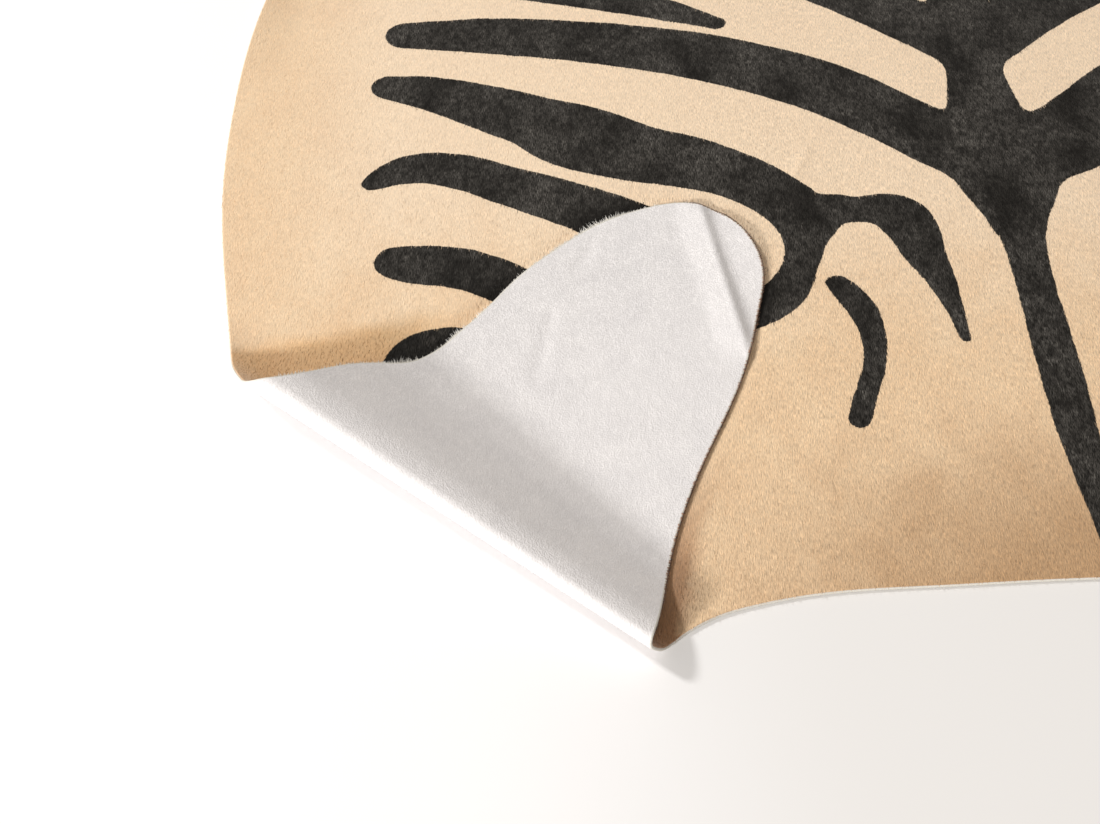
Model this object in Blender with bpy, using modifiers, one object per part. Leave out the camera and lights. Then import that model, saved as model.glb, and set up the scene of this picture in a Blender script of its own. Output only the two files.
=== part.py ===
"""Cow hide with its hair on, lying on the floor with the left hind leg turned over onto it.

It is one sheet of leather. The sheet is cut flat to the hide's outline, the leg is rolled over
about a fold that tapers like a cone, and the sheet gets its thickness last.
Metres, +Z up. The neck points to +Y, and the animal's left side is at -X. The underside lies
on z = 0, and the origin is the middle of the hide's box on that floor.
"""
import math

import bmesh
import bpy
from mathutils import Matrix, Vector

COLLECTION_NAME = "leather_hide"

SHEET_THICKNESS = 0.003
LAYER_GAP = 0.003  # clear space between the turned leg and the hide, for the hair of both

# The outline before the leg is turned. Each row is one landmark on both sides of the animal, from
# the tail to the neck. out is its distance from the spine, and along is its distance from the
# rump's middle towards the neck.
# landmark, left out, left along, right out, right along
LANDMARKS = (
    ("rump", 0.144, -0.008, 0.155, -0.004),
    ("thigh", 0.340, -0.032, 0.335, -0.030),
    ("hind leg, root at the back", 0.392, -0.055, 0.405, -0.064),
    ("hind leg, back edge at the roll", 0.4385, -0.097, 0.462, -0.108),
    ("hind leg, back edge past the roll", 0.495, -0.137, 0.516, -0.148),
    ("hind leg, back edge", 0.565, -0.183, 0.585, -0.204),
    ("hock, back", 0.775, -0.359, 0.780, -0.362),
    ("hind leg, end at the back", 0.890, -0.409, 0.905, -0.412),
    ("hind leg, end", 0.968, -0.376, 0.990, -0.372),
    ("hind leg, end at the front", 0.984, -0.313, 1.004, -0.285),
    ("hock, front", 0.946, -0.181, 0.945, -0.160),
    ("hind leg, front edge", 0.880, -0.076, 0.872, -0.062),
    ("hind leg, root at the front", 0.8535, -0.022, 0.851, -0.010),
    ("flank, front", 0.853, 0.030, 0.847, 0.042),
    ("flank", 0.8215, 0.138, 0.826, 0.150),
    ("flank, back", 0.8335, 0.188, 0.841, 0.205),
    ("belly at the back", 0.846, 0.253, 0.862, 0.275),
    ("belly", 0.897, 0.600, 0.912, 0.575),
    ("belly at the front", 0.872, 0.960, 0.890, 0.930),
    ("elbow", 0.832, 1.110, 0.836, 1.095),
    ("front leg, back edge", 0.888, 1.270, 0.880, 1.245),
    ("front leg, end at the back", 0.962, 1.410, 0.958, 1.380),
    ("front leg, end at the front", 0.912, 1.505, 0.925, 1.480),
    ("front leg, front edge", 0.700, 1.448, 0.715, 1.442),
    ("shoulder", 0.490, 1.462, 0.505, 1.470),
    ("neck, side", 0.345, 1.620, 0.360, 1.640),
    ("neck, end", 0.268, 1.838, 0.275, 1.822),
    ("neck, near the middle", 0.140, 1.893, 0.150, 1.872),
)
OUTLINE_STEPS = 6  # straight pieces of the outline between two landmarks

# The turned leg. Every crease line of a cone runs through its apex. The leg leaves the floor on
# the line from the apex at FOLD_HEADING. Angles about the apex, seen in the flat sheet, say how
# far round the roll a point lies: at 1 m from the apex, 0.1 radians are 0.1 m of leather.
FOLD_APEX = Vector((-0.046, -0.371))
FOLD_HEADING = math.radians(139.4)
LIFT_ENDS = 0.076
LIFT_TURN = math.radians(54.0)  # slope of the lifting leather before it turns over
OVER_STARTS = 0.087  # between here and OVER_ENDS lies the tight bend along the crest
OVER_ENDS = 0.123
DESCENT_STARTS = 0.073  # the leather tips further, into its slope down, from here
DESCENT_STEEPEST = 0.203
LANDING_STARTS = 0.242
LANDED = 0.299  # from here on the leg lies flat on the hide
STRIP_TURN = math.radians(9.0)  # the most that one flat strip of the roll turns from its neighbour
STRIP_WIDTH = 0.0125  # the widest strip

# One crease stands up across the turned leg's end. Places are on the flat sheet.
RIDGE_FROM = Vector((-0.958, -0.374))
RIDGE_TO = Vector((-0.740, -0.333))
RIDGE_HEIGHT = 0.0042
RIDGE_STEEP_SIDE = 0.019  # width of the side towards the leg's edge
RIDGE_LONG_SIDE = 0.032  # width of the side towards the hide's middle
RIDGE_FADE = 0.25  # share of the crease's length over which it rises from nothing
RIDGE_OVERRUN = (-0.2, 1.1)  # where along its length the crease starts and ends

# Swells where the stiff leather doesn't lie down, on the flat sheet.
# place, x, y, half length, half width, heading of its length in degrees, height
SWELLS = (
    ("right hind leg's end", 0.960, -0.340, 0.200, 0.130, 60.0, 0.014),
    ("left front leg's end", -0.950, 1.480, 0.210, 0.130, 40.0, 0.016),
    ("right front leg's end", 0.960, 1.450, 0.200, 0.120, -35.0, 0.012),
    ("neck's end, left", -0.190, 1.900, 0.190, 0.120, 15.0, 0.018),
    ("neck's end, right", 0.240, 1.880, 0.160, 0.100, -30.0, 0.010),
    ("right belly", 0.935, 0.620, 0.300, 0.110, 88.0, 0.012),
    ("left belly", -0.925, 0.900, 0.240, 0.100, 92.0, 0.010),
    ("right flank", 0.830, 0.140, 0.150, 0.110, 70.0, 0.009),
    ("left shoulder", -0.560, 1.500, 0.180, 0.110, 10.0, 0.012),
    ("right rump", 0.300, -0.045, 0.190, 0.080, -5.0, 0.006),
    ("turned leg's end", -0.900, -0.425, 0.140, 0.065, 8.0, 0.005),
)

GRID = 0.060  # spacing of the cuts that let the flat sheet follow the swells
GRID_REACH = 2.0  # how far the cuts go from the rump's middle, and from the cone's apex
REGION_SLACK = 0.01  # radians by which a corner may miss the line that bounds its region
CUT_SNAP = 0.0015  # a cut this near a corner goes through the corner

HIDE_COLOR = (0.76, 0.58, 0.40, 1.0)
HIDE_ROUGHNESS = 0.85


def smooth_step(value):
    """Rises from 0 to 1 as value does, level at both ends."""
    value = min(max(value, 0.0), 1.0)
    return value * value * (3.0 - 2.0 * value)


def heading_vector(angle):
    return Vector((math.cos(angle), math.sin(angle)))


ALONG_FOLD = heading_vector(FOLD_HEADING)
ACROSS_FOLD = heading_vector(FOLD_HEADING + math.pi / 2.0)


def about_apex(place):
    """Distance from the cone's apex, and the angle outwards from the line where the leg lifts."""
    offset = place - FOLD_APEX
    return offset.length, math.atan2(offset.dot(ACROSS_FOLD), offset.dot(ALONG_FOLD))


def bend(angle, start, end):
    """Share of a bend that lies behind a point that far round the roll."""
    return smooth_step((angle - start) / (end - start))


def turn_at(angle, dip):
    """How far the leather has turned, from 0 on the floor to pi on the turned leg."""
    turn = LIFT_TURN * bend(angle, 0.0, LIFT_ENDS)
    turn += (math.pi - LIFT_TURN) * bend(angle, OVER_STARTS, OVER_ENDS)
    turn += dip * bend(angle, DESCENT_STARTS, DESCENT_STEEPEST)
    return turn - dip * bend(angle, LANDING_STARTS, LANDED)


def roll_profile(dip, step=0.0005):
    """Points (outwards, up) of the roll's section at 1 m from the apex, one for each step."""
    points = [(0.0, 0.0)]
    for index in range(round(LANDED / step)):
        outwards, up = points[-1]
        turn = turn_at((index + 0.5) * step, dip)
        points.append((outwards + step * math.cos(turn), up + step * math.sin(turn)))
    return points, step


def landing_dip():
    """The slope of the way down that brings the leather back to its starting height."""
    low, high = 0.0, math.pi / 2.0
    for _ in range(40):
        dip = (low + high) / 2.0
        end_height = roll_profile(dip)[0][-1][1]
        if end_height > 0.0:
            low = dip
        else:
            high = dip
    return dip


DIP = landing_dip()
ROLL, ROLL_STEP = roll_profile(DIP)


def roll_section(angle):
    """Where a point that far round the roll lies, at 1 m from the apex."""
    if angle >= LANDED:
        return ROLL[-1][0] - (angle - LANDED), ROLL[-1][1]
    index = min(int(angle / ROLL_STEP), len(ROLL) - 2)
    part = angle / ROLL_STEP - index
    start, end = ROLL[index], ROLL[index + 1]
    return start[0] + part * (end[0] - start[0]), start[1] + part * (end[1] - start[1])


def strip_angles():
    """The angles about the apex at which one flat strip of the roll meets the next."""
    angles = []
    last = 0.0
    for index in range(1, round(LANDED / ROLL_STEP)):
        angle = index * ROLL_STEP
        turned = abs(turn_at(angle, DIP) - turn_at(last, DIP))
        if turned > STRIP_TURN or angle - last > STRIP_WIDTH:
            angles.append(angle)
            last = angle
    return angles + [LANDED]


def ridge_height(place):
    """Height of the crease on the turned leg. It fades out at its two ends."""
    length = (RIDGE_TO - RIDGE_FROM).length
    direction = (RIDGE_TO - RIDGE_FROM) / length
    offset = place - RIDGE_FROM
    along = offset.dot(direction) / length
    aside = offset.dot(Vector((-direction.y, direction.x)))
    width = RIDGE_LONG_SIDE if aside > 0.0 else RIDGE_STEEP_SIDE
    crest = 1.0 - smooth_step(abs(aside) / width)
    start = smooth_step((along - RIDGE_OVERRUN[0]) / RIDGE_FADE)
    end = smooth_step((RIDGE_OVERRUN[1] - along) / RIDGE_FADE)
    return RIDGE_HEIGHT * crest * start * end


def swell_height(place):
    height = 0.0
    for _name, x, y, half_length, half_width, heading, rise in SWELLS:
        offset = place - Vector((x, y))
        direction = heading_vector(math.radians(heading))
        along = offset.dot(direction) / half_length
        aside = offset.dot(Vector((-direction.y, direction.x))) / half_width
        height += rise * (1.0 - smooth_step(math.hypot(along, aside)))
    return height


def lie_down(place):
    """Place in space of the sheet's middle layer, for a place on the flat sheet."""
    distance, angle = about_apex(place)
    middle = SHEET_THICKNESS / 2.0
    if not 0.0 < angle < math.pi / 2.0:
        return Vector((place.x, place.y, middle + swell_height(place)))
    outwards, up = roll_section(angle)
    spot = FOLD_APEX + distance * (math.cos(outwards) * ALONG_FOLD + math.sin(outwards) * ACROSS_FOLD)
    clearance = (SHEET_THICKNESS + LAYER_GAP) * bend(angle, OVER_STARTS, LANDED)
    height = middle + distance * up + clearance
    if angle > LANDED:
        height += ridge_height(place) + swell_height(place)
    return Vector((spot.x, spot.y, height))


def outline_places():
    """The landmarks in order round the hide, counter-clockwise from the rump's right side."""
    right = [Vector((row[3], row[4])) for row in LANDMARKS]
    left = [Vector((-row[1], row[2])) for row in LANDMARKS]
    return right + left[::-1]


def flat_sheet():
    """The filled outline as one flat face, in a new bmesh."""
    curve = bpy.data.curves.new("outline", "CURVE")
    curve.dimensions = "2D"
    curve.fill_mode = "BOTH"
    curve.resolution_u = OUTLINE_STEPS
    places = outline_places()
    spline = curve.splines.new("BEZIER")
    spline.bezier_points.add(len(places) - 1)
    for knot, place in zip(spline.bezier_points, places):
        knot.co = (place.x, place.y, 0.0)
        knot.handle_left_type = "AUTO"
        knot.handle_right_type = "AUTO"
    spline.use_cyclic_u = True
    guide = bpy.data.objects.new("outline", curve)
    bpy.context.scene.collection.objects.link(guide)
    bpy.context.view_layer.update()
    filled = bpy.data.meshes.new_from_object(guide.evaluated_get(bpy.context.evaluated_depsgraph_get()))
    sheet = bmesh.new()
    sheet.from_mesh(filled)
    bpy.data.meshes.remove(filled)
    bpy.data.objects.remove(guide)
    bpy.data.curves.remove(curve)
    bmesh.ops.remove_doubles(sheet, verts=sheet.verts, dist=0.0001)
    bmesh.ops.dissolve_faces(sheet, faces=sheet.faces)
    return sheet


def cut(sheet, region, wanted, point, normal):
    """Cuts the wanted region's faces along a straight line through the point."""
    faces = [face for face in sheet.faces if face[region] == wanted]
    edges = {edge for face in faces for edge in face.edges}
    corners = {corner for face in faces for corner in face.verts}
    bmesh.ops.bisect_plane(
        sheet,
        geom=faces + list(edges) + list(corners),
        dist=CUT_SNAP,
        plane_co=(point.x, point.y, 0.0),
        plane_no=(normal.x, normal.y, 0.0),
    )


def mark_beyond(sheet, region, wanted, angle, new_region):
    """Gives the wanted region's faces that lie beyond an angle about the apex a new region."""
    for face in sheet.faces:
        if face[region] != wanted:
            continue
        angles = [about_apex(corner.co.to_2d())[1] for corner in face.verts]
        if min(angles) > angle - REGION_SLACK and max(angles) < math.pi / 2.0:
            face[region] = new_region


def cut_into_cells(sheet):
    """Cuts the sheet so that it can bend: narrow strips round the roll, and a grid elsewhere."""
    body, roll, leg = 0, 1, 2
    region = sheet.faces.layers.int.new("region")
    first = FOLD_APEX + ALONG_FOLD
    cut(sheet, region, body, first, ACROSS_FOLD)
    mark_beyond(sheet, region, body, 0.0, roll)
    for angle in strip_angles():
        normal = heading_vector(FOLD_HEADING + angle + math.pi / 2.0)
        cut(sheet, region, roll, FOLD_APEX, normal)
    mark_beyond(sheet, region, roll, LANDED, leg)
    for index in range(1, round(GRID_REACH / GRID)):
        crossing = FOLD_APEX + GRID * index * ALONG_FOLD
        for part in (roll, leg):
            cut(sheet, region, part, crossing, ALONG_FOLD)
        cut(sheet, region, leg, FOLD_APEX + GRID * index * ACROSS_FOLD, ACROSS_FOLD)
    ridge = (RIDGE_TO - RIDGE_FROM).normalized()
    ridge_side = Vector((-ridge.y, ridge.x))
    for aside in (-RIDGE_STEEP_SIDE, -RIDGE_STEEP_SIDE / 2.0, 0.0, RIDGE_LONG_SIDE / 2.0, RIDGE_LONG_SIDE):
        cut(sheet, region, leg, RIDGE_FROM + aside * ridge_side, ridge_side)
    for index in range(1, round(2.0 * GRID_REACH / GRID)):
        line = index * GRID - GRID_REACH
        cut(sheet, region, body, Vector((line, 0.0)), Vector((1.0, 0.0)))
        cut(sheet, region, body, Vector((0.0, line)), Vector((0.0, 1.0)))
    bmesh.ops.triangulate(sheet, faces=sheet.faces)


def hide_material():
    material = bpy.data.materials.new("cow_hide")
    material.use_nodes = True
    shader = material.node_tree.nodes["Principled BSDF"]
    shader.inputs["Base Color"].default_value = HIDE_COLOR
    shader.inputs["Roughness"].default_value = HIDE_ROUGHNESS
    shader.inputs["Metallic"].default_value = 0.0
    material.diffuse_color = HIDE_COLOR
    return material


def give_thickness(hide):
    """Thickens the sheet evenly to both sides of its middle layer."""
    solidify = hide.modifiers.new("leather", "SOLIDIFY")
    solidify.thickness = SHEET_THICKNESS
    solidify.offset = 0.0
    solidify.use_even_offset = True


def make_hide(collection):
    sheet = flat_sheet()
    cut_into_cells(sheet)
    for corner in sheet.verts:
        corner.co = lie_down(corner.co.to_2d())
    bmesh.ops.recalc_face_normals(sheet, faces=sheet.faces)
    xs = [corner.co.x for corner in sheet.verts]
    ys = [corner.co.y for corner in sheet.verts]
    middle = Vector(((min(xs) + max(xs)) / 2.0, (min(ys) + max(ys)) / 2.0, 0.0))
    bmesh.ops.transform(sheet, matrix=Matrix.Translation(-middle), verts=sheet.verts)
    mesh = bpy.data.meshes.new("hide")
    sheet.to_mesh(mesh)
    sheet.free()
    mesh.materials.append(hide_material())
    mesh.shade_smooth()
    hide = bpy.data.objects.new("hide", mesh)
    collection.objects.link(hide)
    give_thickness(hide)
    return hide


def main():
    for leftover in list(bpy.data.objects):
        bpy.data.objects.remove(leftover, do_unlink=True)
    collection = bpy.data.collections.new(COLLECTION_NAME)
    bpy.context.scene.collection.children.link(collection)
    make_hide(collection)


main()
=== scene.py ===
"""The looks of the cow hide: suede leather, a short coat printed with dark stripes, and its floor.

Every shape starts on the flat hide and is laid down by the same rules as the solid: x is the
distance from the spine, y is the distance from the middle of the rump towards the neck.
"""
import math

import bmesh
import bpy
import numpy as np
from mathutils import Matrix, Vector, geometry


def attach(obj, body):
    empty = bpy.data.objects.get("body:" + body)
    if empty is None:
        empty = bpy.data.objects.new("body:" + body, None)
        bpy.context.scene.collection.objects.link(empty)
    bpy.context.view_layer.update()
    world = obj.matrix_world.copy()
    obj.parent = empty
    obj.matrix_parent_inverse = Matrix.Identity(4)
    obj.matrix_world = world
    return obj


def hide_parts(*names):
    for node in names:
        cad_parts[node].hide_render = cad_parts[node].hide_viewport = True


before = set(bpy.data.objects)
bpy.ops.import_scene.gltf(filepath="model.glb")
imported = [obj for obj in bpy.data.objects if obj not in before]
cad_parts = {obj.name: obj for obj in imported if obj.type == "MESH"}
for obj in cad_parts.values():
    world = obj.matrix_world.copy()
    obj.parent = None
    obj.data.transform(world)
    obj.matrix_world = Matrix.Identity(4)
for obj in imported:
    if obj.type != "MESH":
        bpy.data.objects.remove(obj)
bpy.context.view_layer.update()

# --- The leather's own sizes, as the solid has them -------------------------------------------

SHEET_THICKNESS = 0.003
LAYER_GAP = 0.0010  # filled by the pressed hair, so less than between the solid's two layers

# landmark, left out, left along, right out, right along
LANDMARKS = (
    ("rump", 0.144, -0.008, 0.155, -0.004),
    ("thigh", 0.340, -0.032, 0.335, -0.030),
    ("hind leg, root at the back", 0.392, -0.055, 0.405, -0.064),
    ("hind leg, back edge at the roll", 0.4385, -0.097, 0.462, -0.108),
    ("hind leg, back edge past the roll", 0.495, -0.137, 0.516, -0.148),
    ("hind leg, back edge", 0.565, -0.183, 0.585, -0.204),
    ("hock, back", 0.775, -0.359, 0.780, -0.362),
    ("hind leg, end at the back", 0.890, -0.409, 0.905, -0.412),
    ("hind leg, end", 0.968, -0.376, 0.990, -0.372),
    ("hind leg, end at the front", 0.984, -0.313, 1.004, -0.285),
    ("hock, front", 0.946, -0.181, 0.945, -0.160),
    ("hind leg, front edge", 0.880, -0.076, 0.872, -0.062),
    ("hind leg, root at the front", 0.8535, -0.022, 0.851, -0.010),
    ("flank, front", 0.853, 0.030, 0.847, 0.042),
    ("flank", 0.8215, 0.138, 0.826, 0.150),
    ("flank, back", 0.8335, 0.188, 0.841, 0.205),
    ("belly at the back", 0.846, 0.253, 0.862, 0.275),
    ("belly", 0.897, 0.600, 0.912, 0.575),
    ("belly at the front", 0.872, 0.960, 0.890, 0.930),
    ("elbow", 0.832, 1.110, 0.836, 1.095),
    ("front leg, back edge", 0.888, 1.270, 0.880, 1.245),
    ("front leg, end at the back", 0.962, 1.410, 0.958, 1.380),
    ("front leg, end at the front", 0.912, 1.505, 0.925, 1.480),
    ("front leg, front edge", 0.700, 1.448, 0.715, 1.442),
    ("shoulder", 0.490, 1.462, 0.505, 1.470),
    ("neck, side", 0.345, 1.620, 0.360, 1.640),
    ("neck, end", 0.268, 1.838, 0.275, 1.822),
    ("neck, near the middle", 0.140, 1.893, 0.150, 1.872),
)
RIM_STEPS = 18  # straight pieces of the rim between two landmarks
RIM_SPACING = 0.005  # between the points of the rim that the sheets share

FOLD_APEX = np.array((-0.046, -0.371))
FOLD_HEADING = math.radians(139.4)
LIFT_ENDS = 0.076
LIFT_TURN = math.radians(54.0)
OVER_STARTS = 0.087
OVER_ENDS = 0.123
DESCENT_STARTS = 0.073
DESCENT_STEEPEST = 0.203
LANDING_STARTS = 0.242
LANDED = 0.299
LEG_SIDE = math.pi / 2.0  # the leg's angles about the apex go from 0 to less than this

RIDGE_FROM = np.array((-0.958, -0.374))
RIDGE_TO = np.array((-0.740, -0.333))
RIDGE_HEIGHT = 0.0042
RIDGE_STEEP_SIDE = 0.019
RIDGE_LONG_SIDE = 0.032
RIDGE_FADE = 0.25
RIDGE_OVERRUN = (-0.2, 1.1)

# place, x, y, half length, half width, heading of its length in degrees, height
SWELLS = (
    ("right hind leg's end", 0.960, -0.340, 0.200, 0.130, 60.0, 0.014),
    ("left front leg's end", -0.950, 1.480, 0.210, 0.130, 40.0, 0.016),
    ("right front leg's end", 0.960, 1.450, 0.200, 0.120, -35.0, 0.012),
    ("neck's end, left", -0.190, 1.900, 0.190, 0.120, 15.0, 0.018),
    ("neck's end, right", 0.240, 1.880, 0.160, 0.100, -30.0, 0.010),
    ("right belly", 0.935, 0.620, 0.300, 0.110, 88.0, 0.012),
    ("left belly", -0.925, 0.900, 0.240, 0.100, 92.0, 0.010),
    ("right flank", 0.830, 0.140, 0.150, 0.110, 70.0, 0.009),
    ("left shoulder", -0.560, 1.500, 0.180, 0.110, 10.0, 0.012),
    ("right rump", 0.300, -0.045, 0.190, 0.080, -5.0, 0.006),
    ("turned leg's end", -0.900, -0.425, 0.140, 0.065, 8.0, 0.005),
)

# --- What only the looks have -----------------------------------------------------------------

# Faint creases in the leather: place, from x, from y, to x, to y, half width, height
CREASES = (
    ("turned leg, along the ridge", -0.957, -0.3765, -0.740, -0.3355, 0.008, 0.0010),
    ("turned leg, upper", -0.859, -0.162, -0.794, -0.124, 0.012, -0.0009),
    ("turned leg, lower", -0.777, -0.222, -0.748, -0.146, 0.009, -0.0006),
    ("turned leg, dent", -0.940, -0.236, -0.922, -0.216, 0.010, -0.0012),
    ("rump, across the back", -0.236, 0.560, -0.222, 0.590, 0.010, 0.0010),
)

LEG_THIN = 0.0010  # how much thinner the leather is on the turned leg
LEG_THIN_ANGLE = 0.15  # the roll's angle over which it thins
EDGE_ROUND = 0.0005  # how far the knife's cut is rounded at its corners
RIM_BAND = 0.0012  # a narrow band inside the rim that keeps the shading crisp up to it

COAT_THICKNESS = 0.0012  # the dense hair that no light gets through
COAT_SINK = 0.0003  # how far the coat's underside lies in the leather
COAT_INSET = 0.0007  # bare leather between the rim and the coat
COAT_EDGE = 0.0004  # how far the coat's edge leans in, and how far below its top it ends
COAT_SHOULDER = 0.0010  # from the coat's edge to its full height
COAT_PRESSED = 0.70  # share of its height that the coat loses between the layers
PRESSED_FROM = 0.06  # how far before the landing the leg's coat starts to be pressed, as an angle
PRESSED_SOFT = 0.03
UNDER_FROM = 0.014  # how far outside the turned leg's edge the body's coat starts to be pressed
UNDER_SOFT = 0.012

# Painted shade in the hair: brown deep in the fold, in the roll's narrow end and beside the turned leg, and
# a redder tint in the shadow of the roll's wide end
FOLD_WIDE_END = 0.12  # how much of the painted brown shade the roll's wide end has
FOLD_BESIDE = 1.7  # how much of it lies beside the turned leg
FOLD_BESIDE_ANGLE = 0.30  # it fades over this angle away from the roll
FOLD_INSIDE_ANGLE = 0.10  # and over this one past the landing, between the layers
FOLD_NARROW_END = 0.46  # distance from the apex where it starts to fade along the roll
FOLD_FADE = 0.26
SHADE_TINT_FROM = np.array((-0.834, 0.279))  # the line that the painted shadow's redder tint ends at
SHADE_TINT_TO = np.array((-0.729, 0.307))
SHADE_TINT_SOFT = 0.020
SHADE_TINT_LENGTH = 0.26
SHADE_TINT_FADE = 0.12

# The lay of the hair, as distances out from the spine and along it
LEAN = 0.09  # how far the hair leans outwards
LEAN_FULL = 0.7  # distance from the spine where it leans that far
STRAY = 0.05  # how far it strays in broad waves, and again in fine ones
HIND_WAY = (0.80, -0.60)  # down the hind legs
HIND_FROM = (0.42, 0.12)  # where that way starts to take over
HIND_SOFT = (0.35, 0.22)  # and how far on it has
FRONT_WAY = (0.98, -0.15)  # and down the front legs
FRONT_FROM = (0.62, 1.18)
FRONT_SOFT = (0.25, 0.22)

LOCK_SPACING = 0.0039
LOCK_LENGTH = 0.0090
LOCK_LENGTHS = (0.65, 1.15)  # the shares of it that locks have
LOCK_WIDTH = 0.0009
HAIR_WIDTHS = (0.7, 1.3)  # the shares of it that locks have, and edge hairs of theirs
LOCK_RISE = 0.0003  # height of a lock's tip above the coat
LOCK_RISES = (0.3, 1.0)  # the shares of it that locks have
LOCK_DRIFT = 0.3  # how far a lock's crest may lie off its middle, as a share of its width
LOCK_CREST_AT = 0.3  # where along a lock its crest is
LOCK_CREST = (0.10, 0.15)  # the shares of its width and of its rise that the crest stands up
LOCK_COLOUR_AT = 0.4  # where along a lock its colour is taken from
LOCK_PRESSED = 1.4  # how much faster than the coat's height the rise is pressed away
LOCK_SINK = 0.0003  # how far a lock's root lies in the coat
LOCK_TURN = 0.13  # how much the locks' directions spread
LOCK_INSET = 0.0008  # from the coat's rim to the nearest roots
LOCK_OVERHANG = (-0.0002, 0.0030)  # how far past the rim a lock may lie
SHORTEST_LOCK = 0.15  # as a share of its length
INK_SPREAD = 0.0008  # how raggedly the print ends, on the locks and on the coat
INK_SOFT = 0.0004  # half the width over which it ends
FULL_COAT_AT = (-0.45, 0.40)  # the locks are densest round here
FULL_COAT_REACH = 0.60
FAR_SHARE = 0.40  # how many of the locks are missing far away from there
HIDDEN_SHARE = 0.75  # and how many in the roll and between the layers
HIDDEN_FROM = 0.12  # the roll's angle where its locks get fewer
HIDDEN_SOFT = 0.05
HIDDEN_INSET = 0.010  # none of them is missing nearer to the rim

EDGE_HAIR_SPACING = 0.0008
EDGE_HAIR_WIDTH = 0.00085
EDGE_HAIR_LENGTH = (0.0007, 0.0024)  # the least, and how much more the longest have
EDGE_HAIR_SHARE = 0.30  # of the front edge's hairs that are there between its clumps
EDGE_HAIR_SHORT = 0.55  # the share of their length that they have there
EDGE_HAIR_SWEEP = (0.55, 0.28)  # how far they turn together in waves, and each by itself
EDGE_HAIR_INSET = 0.0012  # how far in from the rim their roots are
EDGE_HAIR_BEND = (0.0004, 0.0007)  # how far past the rim they bend up
EDGE_HAIR_ROOT_LIFT = 0.0005  # from the leather to their roots
EDGE_HAIR_RISE = (0.15, 0.75)  # how far past the suede their tips come, by their length
# The curled umber hairs on the back edge partly paint the shade along it.
CURL_SHARE = 0.45  # of the hairs on the back edge that curl over the suede
CURL_WIDER = 2.2
CURL_INSET = 0.0003
CURL_REACH = (0.0006, 0.0030)  # how far in from the rim their tips lie
CURL_ASIDE = 0.0007  # how far their tips swing along the rim
CURL_TURN = 1.1  # and the angle that they swing by
CURL_ROOT_LIFT = 0.0001
CURL_BEND_LIFT = 0.0003  # how far over the suede they bend
CURL_TIP_LIFT = 0.0002  # and how far over it their tips lie
# Where the hairs stand out most round the turned leg's edge: x, y, reach, how much
EDGE_CLUMPS = (
    (-0.977, -0.262, 0.055, 2.0), (-0.853, 0.008, 0.035, 1.7), (-0.824, 0.128, 0.040, 0.9),
)

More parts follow.
